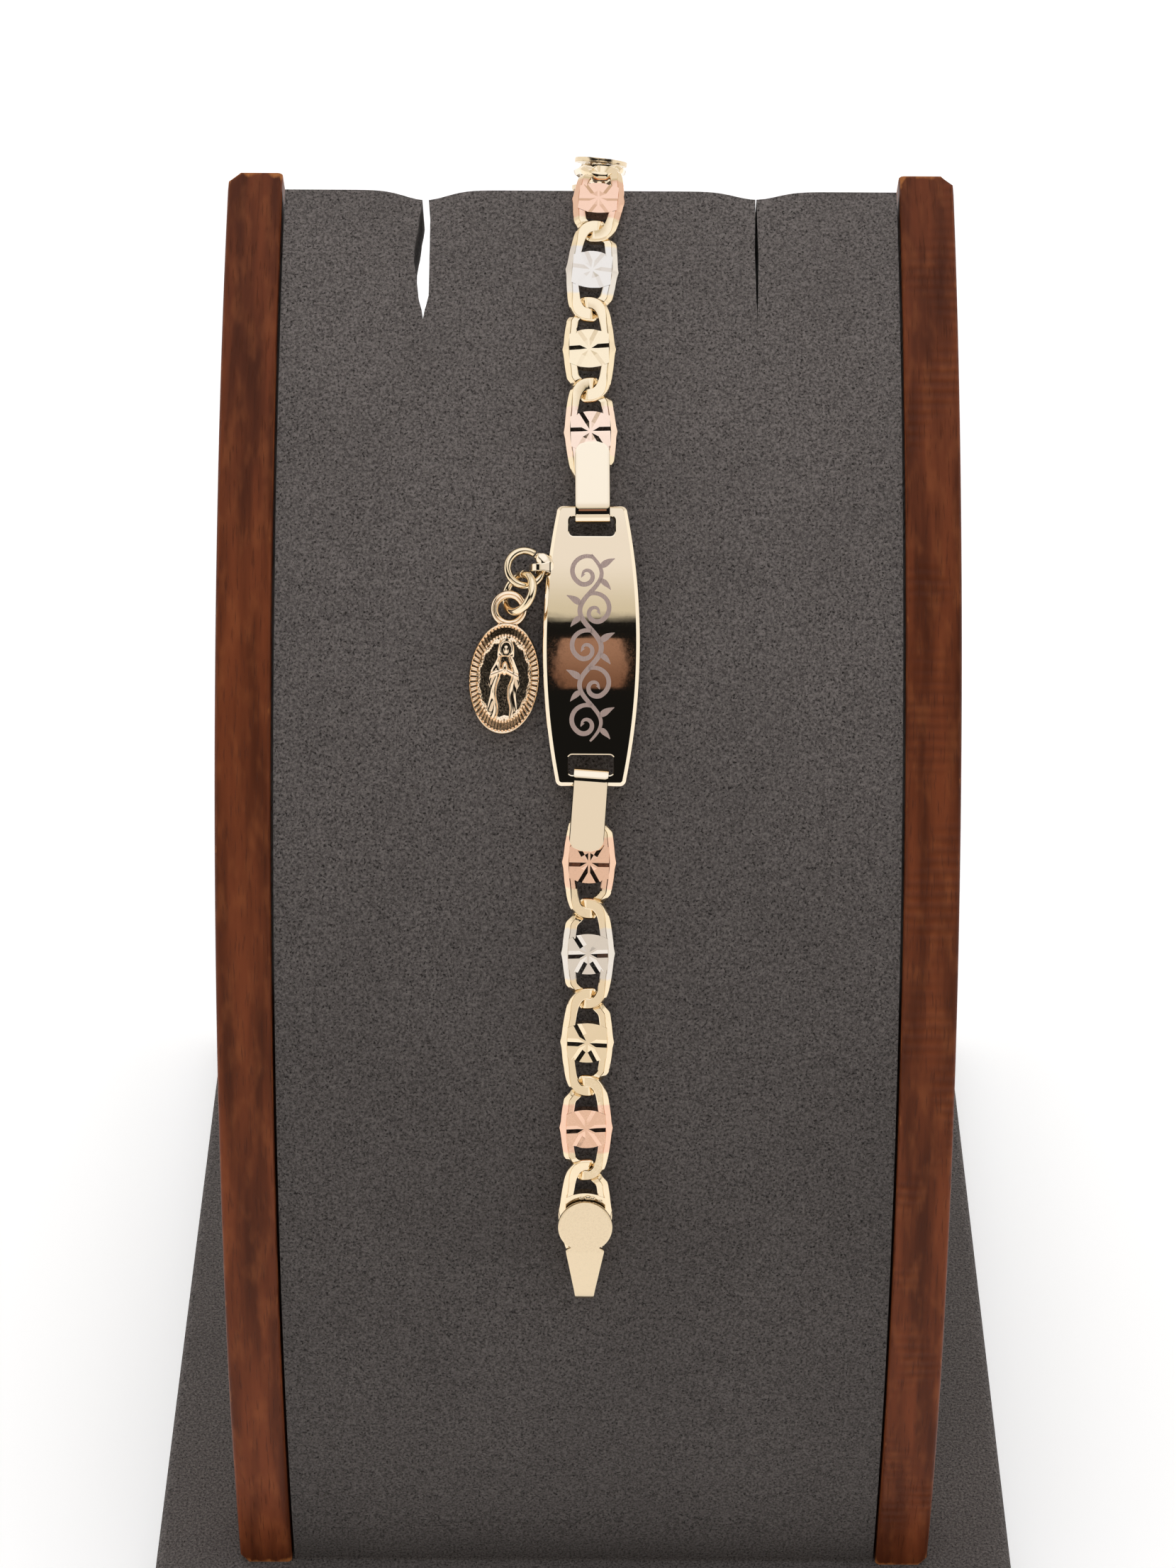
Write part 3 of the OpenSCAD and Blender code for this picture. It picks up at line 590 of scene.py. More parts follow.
def makeRail(side, material, node):
    halfW, halfT = stand["railW"] / 2, stand["railT"] / 2
    bm = bmesh.new()
    bmesh.ops.create_grid(bm, x_segments=1, y_segments=1, size=1)
    bmesh.ops.scale(bm, vec=(halfW, halfT, 1), verts=bm.verts)
    bmesh.ops.bevel(bm, geom=bm.verts[:], offset=rail["edge"], offset_type="OFFSET", segments=5, profile=0.5,
                    affect="VERTICES", material=-1)
    bmesh.ops.subdivide_edges(bm, edges=[e for e in bm.edges if e.calc_length() > 2], cuts=5)
    length = stand["panelLen"] + stand["railOver"]
    grown = bmesh.ops.extrude_face_region(bm, geom=bm.faces[:])
    tip = [v for v in grown["geom"] if isinstance(v, bmesh.types.BMVert)]
    bmesh.ops.translate(bm, vec=(0, 0, length), verts=tip)
    lengthways = [e for e in bm.edges if abs(e.verts[0].co.z - e.verts[1].co.z) > 1]
    bmesh.ops.subdivide_edges(bm, edges=lengthways, cuts=rail["steps"], use_grid_fill=False)
    uv = bm.loops.layers.uv.new("alongBar")
    wear = bm.verts.layers.float.new("wear")
    for face in bm.faces:
        isEnd = abs(face.normal.z) > 0.5
        for loop in face.loops:
            x, y, z = loop.vert.co
            around = x if abs(face.normal.y) > 0.5 else y + 9
            loop[uv].uv = ((around + 3 * side) / 100, (z + y if isEnd else z) / 100)
    for vert in bm.verts:
        x, y, z = vert.co
        corner = (min(abs(x) / halfW, 1) * min(abs(y) / halfT, 1)) ** 8
        ends = max(0.0, 1 - min(z, length - z) / rail["worn"])
        vert[wear] = min(1.0, corner + 0.8 * ends)
        limit = halfW
        for gap, radius in ((length - z, rail["endR"]), (z, rail["footR"])):
            if gap < radius:
                limit = min(limit, halfW - radius + math.sqrt(max(0, radius ** 2 - (radius - gap) ** 2)))
        if x * side > limit:
            x = limit * side
        across = side * (stand["width"] - stand["railW"]) / 2 + x
        vert.co = onFace(z, across, stand["railProud"] - halfT - y)
    finishPiece(bm, node.replace("rail", "wooden_rail"), [material], [node], 40)


makeRail(-1, makeWood("stainedWoodLeft", False), "rail_left")
makeRail(1, makeWood("stainedWoodRight", True), "rail_right")
print("stand made")

# the chain's own sizes, in millimetres
chain = {
    "linkLen": 12.2, "linkW": 5.6, "strandW": 1.35, "tipW": 1.22, "tipWideW": 1.5, "strandT": 1.0,
    "crossGap": 0.22, "barH": 4.4, "barT": 1.15, "barDrop": 0.55, "bevelW": 0.66, "tipBevel": 0.2,
    "layGap": 0.25, "pitchLow": 9.65, "pitchUp": 9.1, "full": 2.9, "waist": 0.09, "aside": 0.2,
    "diveFrom": 3.75, "diveTo": 4.6, "diveEarly": 0.25, "crossFrom": 0.15, "crossTo": 1.15, "roll": 0.42,
    "cornerFrom": 3.1, "cornerIn": 0.6, "bulge": 0.13, "bulgeHalf": 0.4, "rough": 0.02, "proud": 0.03,
    "armFrom": 0.24, "armFull": 0.96, "armHalf": 0.43, "room": 0.25, "roomHalf": 0.95,
}
crossZ = (chain["strandT"] + chain["crossGap"]) / 2
frontZ = crossZ + chain["strandT"] / 2
chainH = chain["layGap"] + frontZ


# the loop of a link is a spun ring stretched to an oval, whose ends cross from front to back
spunR = 10


def linkLoop(hand, sag, room, wideTip):
    bm = bmesh.new()
    w, t, b = chain["strandW"], chain["strandT"] / 2, chain["bevelW"]
    outer = w / 2 - b  # where the top's outer bevel starts
    outline = (
        (0.12 - w / 2, t), (outer - 0.05, t), (outer, t - 0.06), (outer + 0.06, t - 0.035),
        (w / 2 - 0.05, t - 0.6 * b), (w / 2, t - 0.6 * b - 0.08), (w / 2, -0.1), (w / 2 - 0.1, 0.12 - t),
        (w / 2 - 0.25, -t), (0.25 - w / 2, -t), (0.08 - w / 2, 0.15 - t), (-w / 2, -0.1), (-w / 2, t - 0.14),
        (0.03 - w / 2, t - 0.04))
    addLine(bm, [(spunR + out, 0, up) for out, up in outline], True)
    spinAround(bm, 128)
    tipW = chain["tipWideW"] if wideTip else chain["tipW"]
    halfX, halfY = (chain["linkW"] - w) / 2, (chain["linkLen"] - tipW) / 2
    diveFrom = chain["diveFrom"] - (chain["diveEarly"] if wideTip else 0)
    diveOver = chain["diveTo"] - chain["diveFrom"]
    full = chain["full"]
    for vert in bm.verts:
        a = math.atan2(vert.co.y, vert.co.x)
        out, up = math.hypot(vert.co.x, vert.co.y) - spunR, vert.co.z
        c, s = math.cos(a), math.sin(a)
        x, y = halfX * signedPow(c, 2 / full), halfY * signedPow(s, 2 / full)
        x *= 1 - chain["waist"] * ease(abs(y) / 3.5)
        x -= hand * chain["cornerIn"] * ease((abs(y) - chain["cornerFrom"]) / 1.1) * ease(hand * x / 1.2)
        aside = hand * chain["aside"] * abs(s) ** 6
        down = ease((abs(y) - diveFrom) / diveOver)
        # the inner edge dives before the outer one, so the two ends meet along a slant
        sideways = hand * x - chain["roll"] * out * abs(s)
        down *= ease((sideways - chain["crossFrom"]) / (chain["crossTo"] - chain["crossFrom"]))
        pastBar = max(0, (2 * abs(y) - chain["barH"]) / (chain["linkLen"] - chain["barH"]))
        bend = sag[1 if y > 0 else 0] * pastBar ** 2
        way = Vector((signedPow(c, 2 - 2 / full) / halfX, signedPow(s, 2 - 2 / full) / halfY)).normalized()
        share = s * s
        wide = w + (tipW - w) * share
        bevel = b + (chain["tipBevel"] - b) * ease(share * 1.15)
        onTop = up > 0.3 and out < outer - 0.02
        if out > outer - 0.06 and up > -0.05:
            along = (out - outer) / b
            out = wide / 2 - bevel + along * bevel
            up = t - (t - up) * (0.35 + 0.65 * bevel / b)
        else:
            out *= wide / w
        if out > 0.3:
            out += chain["bulge"] * math.exp(-(y / chain["bulgeHalf"]) ** 2)
        z = crossZ * (1 - 2 * down) - bend + up
        if room and onTop and abs(y) < chain["roomHalf"]:
            z -= chain["room"]
        spot = Vector((x + aside + out * way.x, y + out * way.y, z))
        uneven = noise.noise_vector(spot * 1.3 + Vector((hand, 5 * sag[1], 0)))
        spot += chain["rough"] * uneven * Vector((1, 1, 0.5))
        vert.co = spot
    return bm


# the bar between the strands. Each arm of its star is a V groove with two facets: it starts near the middle,
# widens to its full width, and runs on to the rim. Arms hold the facets' tilts in degrees, from the right
# round by the top
def linkBar(arms, turn):
    bm = bmesh.new()
    half, count = chain["linkW"] / 2 - chain["bevelW"] - 0.01, 10

    def inside(x, y):
        return abs(x) < half and abs(y) < chain["barH"] / 2 - chain["barDrop"] * (x / half) ** 2

    def vertAt(x, y, z=0.0):
        return bm.verts.new((x, y, z))

    outline = []
    for sign in (1, -1):
        for i in range(count + 1):
            u = (2 * i / count - 1) * sign
            outline.append((-u * half, sign * (chain["barH"] / 2 - chain["barDrop"] * u * u)))
    grooves = []
    for k, tilt in enumerate(arms):
        a = math.radians(k * 60 + turn)
        d, across = Vector((math.cos(a), math.sin(a))), Vector((-math.sin(a), math.cos(a)))
        depth = chain["armHalf"] * math.tan(math.radians(tilt))

        def toRim(off):
            low, high = 0.5, 6.0
            for step in range(30):
                middle = (low + high) / 2
                spot = d * middle + across * off
                low, high = (middle, high) if inside(spot.x, spot.y) else (low, middle)
            return d * low + across * off

        full = d * chain["armFull"]
        grooves.append({
            "apex": vertAt(*d * chain["armFrom"]), "valley": vertAt(*full, -depth),
            "rim": vertAt(*toRim(0), -depth),
            "sides": [vertAt(*(full + across * s * chain["armHalf"])) for s in (-1, 1)],
            "rims": [vertAt(*toRim(s * chain["armHalf"])) for s in (-1, 1)]})
    middle = vertAt(0, 0)

    def turnFrom(start, spot):
        return (math.atan2(spot[1], spot[0]) - start) % math.tau

    for k, groove in enumerate(grooves):
        for side in (0, 1):
            bm.faces.new((groove["apex"], groove["valley"], groove["sides"][side]))
            bm.faces.new((groove["valley"], groove["rim"], groove["rims"][side], groove["sides"][side]))
        after = grooves[(k + 1) % len(grooves)]
        start = turnFrom(0, groove["rims"][1].co)
        span = turnFrom(start, after["rims"][0].co)
        between = [q for q in outline if 0.01 < turnFrom(start, q) < span - 0.01]
        between.sort(key=lambda q: turnFrom(start, q))
        bm.faces.new([middle, groove["apex"], groove["sides"][1], groove["rims"][1]]
                     + [vertAt(*q) for q in between]
                     + [after["rims"][0], after["sides"][0], after["apex"]])
    bmesh.ops.recalc_face_normals(bm, faces=bm.faces)
    grown = bmesh.ops.extrude_edge_only(bm, edges=[e for e in bm.edges if e.is_boundary])
    for vert in [v for v in grown["geom"] if isinstance(v, bmesh.types.BMVert)]:
        vert.co.z = -chain["barT"]
    closeHoles(bm)
    bm.normal_update()
    for edge in bm.edges:
        edge.smooth = foldAngle(edge) < 4
    bmesh.ops.translate(bm, vec=(0, 0, frontZ + chain["proud"]), verts=bm.verts)
    return bm


# UV holds the place on the link, for its plating
def makeLink(hand, sag=(0, 0), arms=(1,) * 6, turn=0.0, wideTip=False):
    bm = linkLoop(hand, sag, max(arms) > 1, wideTip)
    joinInto(bm, linkBar(arms, turn))
    uv = bm.loops.layers.uv.new("onLink")
    for face in bm.faces:
        for loop in face.loops:
            loop[uv].uv = (loop.vert.co.x / uvSpan + 0.5, loop.vert.co.y / uvSpan + 0.5)
    return bm


# places along the chain, as the solids have them
plate = {
    "s": 112.9, "x": 0.3, "len": 29.9, "w": 10.35, "endW": 7.3, "t": 1.1, "slotW": 4.85, "slotH": 2.1,
    "slotEdge": 1.2, "slotR": 0.45, "cornerR": 0.7, "rim": 0.4, "rimDrop": 0.26, "eyeUp": 8.1,
    "eyeHole": 1.2, "eyeT": 0.4, "rows": 74,
}
strap = {
    "w": 3.7, "t": 0.42, "len": 8.8, "reach": 10.05, "gap": 0.17, "bendGap": 0.3, "cornerR": 1.3,
    "backShare": 0.75, "solder": 0.02, "bow": 15,
}
strapFrontZ = frontZ - strap["solder"]
plateFrontZ = strapFrontZ - strap["gap"]
plateBackZ = plateFrontZ - plate["t"]
strapBackZ = plateBackZ - strap["gap"]
strapWrap = plate["slotEdge"] / 2 + strap["bendGap"] + strap["t"]
barOff = stand["arcR"] * math.asin((plate["len"] - plate["slotEdge"]) / 2 / (stand["arcR"] + chainH))
barUp, barLow = plate["s"] + barOff, plate["s"] - barOff
run = {
    "upX": (0.36, -0.05, -0.15, 0.5), "lowX": (0.3, 0.1, 0.12, 0, 0), "upLean": -1.2, "lowLean": -3.0,
    "shoulderSag": 0.15, "crestX": 1.2, "crestAngle": 18.5, "overAngle": -33, "crestPitch": 9.5,
    "crestSag": 1.7, "discRoll": 6, "tailUpX": 0.6, "tailLowX": -0.1, "tailLift": 0.6,
}
cap = {"d": 5.9, "t": 0.42, "off": 1.5, "reach": 10.3, "neckW": 4.5, "tailW": 1.85, "tailT": 2.1}
jointUp = strap["reach"] - strapWrap + chain["pitchUp"] / 2
jointLow = strap["reach"] - strapWrap + chain["pitchLow"] / 2


def ahead(p, angle, distance, x):
    turn = math.radians(angle)
    return Vector((x, p.y + distance * math.cos(turn), p.z + distance * math.sin(turn)))


# turns +Y towards q and +Z out of the face, at p
def aim(p, q):
    back = q.y < p.y
    d = p - q if back else q - p
    return (Matrix.Translation(p) @ Matrix.Rotation(math.atan2(d.z, d.y), 4, "X")
            @ Matrix.Rotation((math.pi if back else 0) - math.atan2(d.x, math.hypot(d.y, d.z)), 4, "Z"))


# the bar of the plate's slot, and then each joint of the chain
up = [onFace(barUp, run["upX"][0], chainH)]
up += [onFace(barUp + jointUp + i * chain["pitchUp"], x, chainH) for i, x in enumerate(run["upX"][1:])]
low = [onFace(barLow, run["lowX"][0], chainH)]
low += [onFace(barLow - jointLow - i * chain["pitchLow"], x, chainH) for i, x in enumerate(run["lowX"][1:])]
crest = ahead(up[3], run["crestAngle"], (chain["pitchUp"] + run["crestPitch"]) / 2, run["crestX"])
overEnd = ahead(crest, run["overAngle"], run["crestPitch"] / 2 + cap["reach"], run["tailUpX"])
tailLow = onFace(barLow - jointLow - 3.5 * chain["pitchLow"] - cap["reach"], run["tailLowX"],
                 chainH + run["tailLift"])

# the tilt of an arm's facets says how dark it looks: the lower pieces lie turned round, so theirs count
# from the left
shoulder, overCrest = run["shoulderSag"], run["crestSag"]
for name, place, hand, material, slot, sag, arms, turn in (
        ("link_upper_1", aim((up[1] + up[2]) / 2, up[2]), -1, gold, "gold", (0, 0),
         (17, 15, 11, 17, 9, 10), 4),
        ("link_upper_2", aim((up[2] + up[3]) / 2, up[3]), 1, whiteLink, "white_gold", (0, shoulder),
         (12, 14, 16, 12, 10, 14), -4),
        ("link_upper_3", aim(up[3], crest) @ moved(0, chain["pitchUp"] / 2), -1, roseLink, "rose_gold",
         (shoulder, overCrest), (12, 14, 13, 12, 11, 10), 4),
        ("link_lower_1", aim((low[1] + low[2]) / 2, low[2]), 1, whiteLink, "white_gold", (0, 0),
         (12, 25, 25, 13, 7, 21), 2),
        ("link_lower_2", aim((low[2] + low[3]) / 2, low[3]), -1, gold, "gold", (0, 0),
         (15, 24, 24, 15.5, 6, 21), -2),
        ("link_lower_3", aim((low[3] + low[4]) / 2, low[4]), 1, roseLink, "rose_gold", (0, 0),
         (19, 25, 9, 19, 5, 6), 3)):
    bm = makeLink(hand, sag, arms, turn, "upper" in name)
    bm.transform(place)
    finishPiece(bm, name.replace("link", "star_link"), [material], [name], 24)


# a sheet along a path in the YZ plane, the path on its outer side, with a half width at each place
def foldedSheet(path, widths, thickness, across=10, edge=0.07):
    bm = bmesh.new()
    bmesh.ops.create_grid(bm, x_segments=across, y_segments=len(path) - 1, size=1)
    rows = len(path) - 1
    for vert in bm.verts:
        i = round((vert.co.y + 1) / 2 * rows)
        vert.co = Vector((vert.co.x * widths[i], path[i][0], path[i][1]))
    bm.normal_update()
    (y0, z0), (y1, z1) = path[:2]
    outward = Vector((0, z1 - z0, y0 - y1))
    if sum(f.normal.dot(outward) for f in bm.faces if f.calc_center_median().z > z0 - 0.05) < 0:
        bmesh.ops.reverse_faces(bm, faces=bm.faces)
    bmesh.ops.solidify(bm, geom=bm.faces[:], thickness=thickness)
    bm.normal_update()
    roundEdges(bm, [e for e in bm.edges if len(e.link_faces) == 2 and foldAngle(e) > 55], edge, 2)
    bm.loops.layers.uv.new("onLink")
    return bm


def bent(y0, z0, y1, z1, count):
    return [(y0 + (y1 - y0) * i / count, z0 + (z1 - z0) * i / count) for i in range(count)]


def turned(centreY, centreZ, radius, start, end, count):
    angles = [math.radians(start + (end - start) * i / count) for i in range(count)]
    return [(centreY + radius * math.cos(a), centreZ + radius * math.sin(a)) for a in angles]


# the front bows gently before the bend at the plate's slot
def makeStrap(lean, bowR):
    front, back = strapFrontZ + strap["t"], strapBackZ - strap["t"]
    bow = strap["bow"]
    drop, runY = bowR * (1 - math.cos(math.radians(bow))), bowR * math.sin(math.radians(bow))
    r = ((front - back) / 2 - drop) / math.cos(math.radians(bow))
    middleY, middleZ = r - strapWrap, (front + back) / 2
    bowY = middleY - r * math.sin(math.radians(bow)) + runY
    tip = strap["len"] - strapWrap
    path = bent(tip, front, bowY, front, 26)
    path += turned(bowY, front - bowR, bowR, 90, 90 + bow, 8)
    path += turned(middleY, middleZ, r, 90 + bow, 270 - bow, 18)
    path += turned(bowY, back + bowR, bowR, 270 - bow, 270, 6)
    path += bent(bowY, back, tip - (1 - strap["backShare"]) * strap["len"], back, 12)
    widths, cornerR = [], strap["cornerR"]
    for y, z in path:
        into = max(0.0, cornerR - (tip - y)) if z > middleZ else 0.0
        widths.append(strap["w"] / 2 - cornerR + math.sqrt(max(0.0, cornerR ** 2 - into ** 2)))
    bm = foldedSheet(path, widths, strap["t"])
    bm.transform(turnedOn("Z", lean))
    return bm


for name, place, hand, lean, bowR, material, arms in (
        ("strap_upper", aim(up[0], up[1]), 1, run["upLean"], 5.0, paintedHighlightRoseLink, (13, 11, 17, 13, 8, 14)),
        ("strap_lower", aim(low[0], low[1]), -1, run["lowLean"], 2.2, roseLink, (8, 15, 16, 8, 14, 15))):
    bm = makeLink(hand, (0, 0), arms, 0, "upper" in name)
    bm.transform(moved(0, strap["reach"] - strapWrap))
    part = makeStrap(lean, bowR)
    for face in part.faces:
        face.material_index = 1
    joinInto(bm, part)
    bm.transform(place)
    finishPiece(bm, "folded_" + name, [material, paintedHighlightGold], [name], 24)


# drops of solder, a lip round the disc and the notches at its neck are small things that only the look needs
capLook = {
    "lip": ((-0.42, -0.08), (-0.42, 0.05), (-0.38, 0.075), (-0.1, 0.035), (-0.04, 0.0), (-0.04, -0.08)),
    "lipFrom": 170, "lipSweep": 200, "notchY": 3.9, "notchDeep": 0.62, "notchHalf": 0.24,
    "drops": ((-0.75, -1.6, 1.12, 0.28), (-0.25, -1.68, 1.12, 0.34), (0.4, -1.62, 1.1, 0.26),
              (-1.6, -1.3, 1.1, 0.24)),
}
capFront, capBack = frontZ - 0.02 + cap["t"], -frontZ - 0.06


def capHalf(y):
    disc = math.sqrt(max(0.0, (cap["d"] / 2) ** 2 - (y - cap["off"]) ** 2))
    neckY = cap["off"] + 0.35 * cap["d"]
    share = (y - neckY) / (cap["reach"] - neckY)
    taper = (cap["neckW"] + (cap["tailW"] - cap["neckW"]) * share) / 2 if share > 0 else 0.0
    notch = capLook["notchDeep"] * math.exp(-((y - capLook["notchY"]) / capLook["notchHalf"]) ** 2)
    return max(max(disc, taper) - notch, 0.3)


def makeCap():
    middle, foldR, off, r = (capFront + capBack) / 2, cap["tailT"] / 2, cap["off"], cap["d"] / 2
    foldY, bendY = cap["reach"] - foldR, off + r
    path = [(off - r * math.cos(math.pi * i / 64), capFront) for i in range(64)]
    path += bent(bendY, capFront, foldY, middle + foldR, 30)
    path += turned(foldY, middle, foldR, 90, -90, 14)
    path += bent(foldY, middle - foldR, bendY, capBack, 20)
    path += [(off + r * math.cos(math.pi * i / 24), capBack) for i in range(25)]
    bm = foldedSheet(path, [capHalf(y) for y, z in path], cap["t"], 16, 0.18)
    lip = bmesh.new()
    addLine(lip, [(r + x, 0, z) for x, z in capLook["lip"]], True)
    lip.transform(turnedOn("Z", capLook["lipFrom"]))
    spinAround(lip, 56, capLook["lipSweep"])
    closeHoles(lip)
    bmesh.ops.recalc_face_normals(lip, faces=lip.faces)
    for edge in lip.edges:
        edge.smooth = foldAngle(edge) < 20
    lip.transform(moved(0, off, capFront))
    lip.loops.layers.uv.new("onLink")
    joinInto(bm, lip)
    for x, y, z, dropR in capLook["drops"]:
        drop = bmesh.new()
        bmesh.ops.create_icosphere(drop, subdivisions=3, radius=dropR)
        drop.transform(moved(x, y, z) @ Matrix.Diagonal((1.2, 0.9, 0.8, 1)))
        drop.loops.layers.uv.new("onLink")
        joinInto(bm, drop)
    return bm


for name, place, hand, sag in (
        ("cap_upper", aim(crest, overEnd) @ moved(0, run["crestPitch"] / 2), 1, (run["crestSag"], 0)),
        ("cap_lower", aim(low[4], tailLow) @ moved(0, chain["pitchLow"] / 2), -1, (0, 0))):
    bm = makeLink(hand, sag, (0.5,) * 6, 0, "upper" in name)
    part = makeCap()
    part.transform(turnedOn("Y", run["discRoll"] if "upper" in name else 0))
    for face in part.faces:
        face.material_index = 1
    joinInto(bm, part)
    bm.transform(place)
    finishPiece(bm, "end_" + name, [gold, satinGold], [name], 24)
print("chain made")


# half width of the plate, for its outline moved inwards by a distance
def plateHalf(y, inset=0.0):
    b = (plate["w"] - plate["endW"]) / 2
    r = ((plate["len"] / 2) ** 2 + b * b) / (2 * b)
    return math.sqrt((r - inset) ** 2 - y * y) - r + plate["w"] / 2


def plateOutline(inset):
    halfLen, r = plate["len"] / 2 - inset, max(0.2, plate["cornerR"] - inset)
    side = [(plateHalf(y, inset), y) for y in [(-1 + i / 24) * (halfLen - r) for i in range(49)]]
    end = []
    for a in range(10, 91, 10):
        turn = math.radians(a)
        end.append((side[-1][0] - r + r * math.cos(turn), halfLen - r + r * math.sin(turn)))
    cornerX = end[-1][0]
    end += [(cornerX * (1 - i / 10), halfLen) for i in range(1, 11)]
    right = [(x, -y) for x, y in reversed(end)] + side + end
    return right + [(-x, y) for x, y in reversed(right[1:-1])]


def slotOutline(end, grow):
    cy = end * (plate["len"] / 2 - plate["slotEdge"] - plate["slotH"] / 2)
    hw, hh, q = plate["slotW"] / 2 + grow, plate["slotH"] / 2 + grow, plate["slotR"] + grow
    points = []
    for sx, sy, start in ((1, 1, 0), (-1, 1, 90), (-1, -1, 180), (1, -1, 270)):
        for a in range(0, 91, 15):
            turn = math.radians(start + a)
            points.append((sx * (hw - q) + q * math.cos(turn), cy + sy * (hh - q) + q * math.sin(turn)))
    return points


# bends what is drawn flat, at heights above the plate's back, to the plate's place
def bendToPlate(bm):
    for vert in bm.verts:
        x, y, z = vert.co
        s = plate["s"] + stand["arcR"] * math.asin(y / (stand["arcR"] + chainH))
        vert.co = onFace(s, plate["x"] + x, chainH + plateBackZ + z)


# the plate is drawn flat: outlines from its back over its side and rim to its face, and the same through
# each slot
def makePlate():
    bm = bmesh.new()
    t = plate["t"]
    rimZ = t - plate["rimDrop"]
    shells = [[(plateOutline(inset), z) for inset, z in (
        (0.1, 0), (0, 0.1), (0, rimZ - 0.06), (0.05, rimZ), (plate["rim"] - 0.03, t - 0.015),
        (plate["rim"], t))]]
    for end in (-1, 1):
        shells.append([(slotOutline(end, grow), z) for grow, z in (
            (0.1, 0), (0, 0.1), (0, t - 0.1), (0.03, t - 0.03), (0.14, t))])
    faceEdges, backEdges = [], []
    for shell in shells:
        loops = [addLine(bm, [(x, y, z) for x, y in points], True) for points, z in shell]
        for (points, z), loop in zip(shell, loops):
            for edge in loop:
                edge.smooth = z not in (0, t)
        for first, second in zip(loops, loops[1:]):
            bmesh.ops.bridge_loops(bm, edges=first + second)
        backEdges += loops[0]
        faceEdges += loops[-1]
    bmesh.ops.triangle_fill(bm, edges=faceEdges, use_beauty=True)
    bmesh.ops.triangle_fill(bm, edges=backEdges, use_beauty=True)
    for i in range(1, plate["rows"]):
        y = plate["len"] * (i / plate["rows"] - 0.5)
        bmesh.ops.bisect_plane(bm, geom=bm.verts[:] + bm.edges[:] + bm.faces[:], plane_co=(0, y, 0),
                               plane_no=(0, 1, 0), dist=0.0001)
    bendToPlate(bm)
    return bm


# the engraving: a vine of my own, a wavy stem with curls and leaves, a hair above the plate
vine = {
    "top": 9.6, "bottom": -10.2, "wave": 1.15, "turns": 2.5, "stem": 0.27, "curl": 1.5, "curlR": 1.05,
    "leaf": 1.8, "lift": 0.012, "thick": 0.02, "x": -0.1,
}


def addRibbon(bm, points, halfWidths):
    rows = []
    for i, (x, y) in enumerate(points):
        ax, ay = points[max(0, i - 1)]
        bx, by = points[min(len(points) - 1, i + 1)]
        way = Vector((bx - ax, by - ay)).normalized()
        rows.append([bm.verts.new((x - way.y * k * halfWidths[i], y + way.x * k * halfWidths[i], 0))
                     for k in (-1, 1)])
    for first, second in zip(rows, rows[1:]):
        bm.faces.new((first[0], first[1], second[1], second[0]))


def makeVine():
    bm = bmesh.new()
    length, steps = vine["top"] - vine["bottom"], 150

    def stemAt(share):
        x = vine["x"] + vine["wave"] * math.sin(math.tau * vine["turns"] * share)
        return x, vine["top"] - length * share

    points = [stemAt(i / steps) for i in range(steps + 1)]
    swell = [math.sin(math.pi * min(1, 0.06 + i / steps * 0.94)) ** 0.5 for i in range(steps + 1)]
    widths = [vine["stem"] * (0.35 + 0.65 * one) for one in swell]
    addRibbon(bm, points, widths)
    halves = int(vine["turns"] * 2)
    for k in range(halves):
        side = 1 if k % 2 == 0 else -1
        # a curl fills the hollow of each wave
        x, y = stemAt((k + 0.06) / halves)
        turns = 1.35
        centre = (vine["x"] - side * 0.55, vine["top"] - length * (k + 0.55) / halves)
        start = math.atan2(y - centre[1], x - centre[0])
        reach = math.hypot(x - centre[0], y - centre[1])
        curl, wide = [], []
        for i in range(61):
            share = i / 60
            if share < 0.35:
                r = reach + (vine["curlR"] - reach) * ease(share / 0.35)
            else:
                r = vine["curlR"] * (1 - 0.78 * (share - 0.35) / 0.65)
            a = start + side * math.tau * turns * share
            curl.append((centre[0] + r * math.cos(a), centre[1] + r * math.sin(a)))
            bud = 0.14 * math.exp(-((share - 1) / 0.05) ** 2)
            wide.append(vine["curl"] * (0.06 + 0.11 * math.sin(math.pi * (0.25 + 0.75 * share)) + bud))
        addRibbon(bm, curl, wide)
        # two leaves spring from the outside of each wave
        for where, lean, size in ((0.34, 0.75, 1.0), (0.66, -0.55, 0.85)):
            x, y = stemAt((k + where) / halves)
            a = math.pi / 2 - side * (math.pi / 2 - lean)
            leaf, wide = [], []
            for i in range(17):
                share = i / 16
                d = vine["leaf"] * size * share
                bend = side * 0.35 * share * share
                leaf.append((x + d * math.cos(a) + bend * math.sin(a),
                             y + d * math.sin(a) - bend * math.cos(a)))
                wide.append(0.03 + 0.36 * size * math.sin(math.pi * share ** 0.75) * (1 - 0.25 * share))
            addRibbon(bm, leaf, wide)
    bmesh.ops.recalc_face_normals(bm, faces=bm.faces)
    bm.normal_update()
    bmesh.ops.reverse_faces(bm, faces=[f for f in bm.faces if f.normal.z < 0])
    bmesh.ops.solidify(bm, geom=bm.faces[:], thickness=vine["thick"])
    bmesh.ops.translate(bm, vec=(0, 0, plate["t"] + vine["lift"]), verts=bm.verts)
    bendToPlate(bm)
    return bm


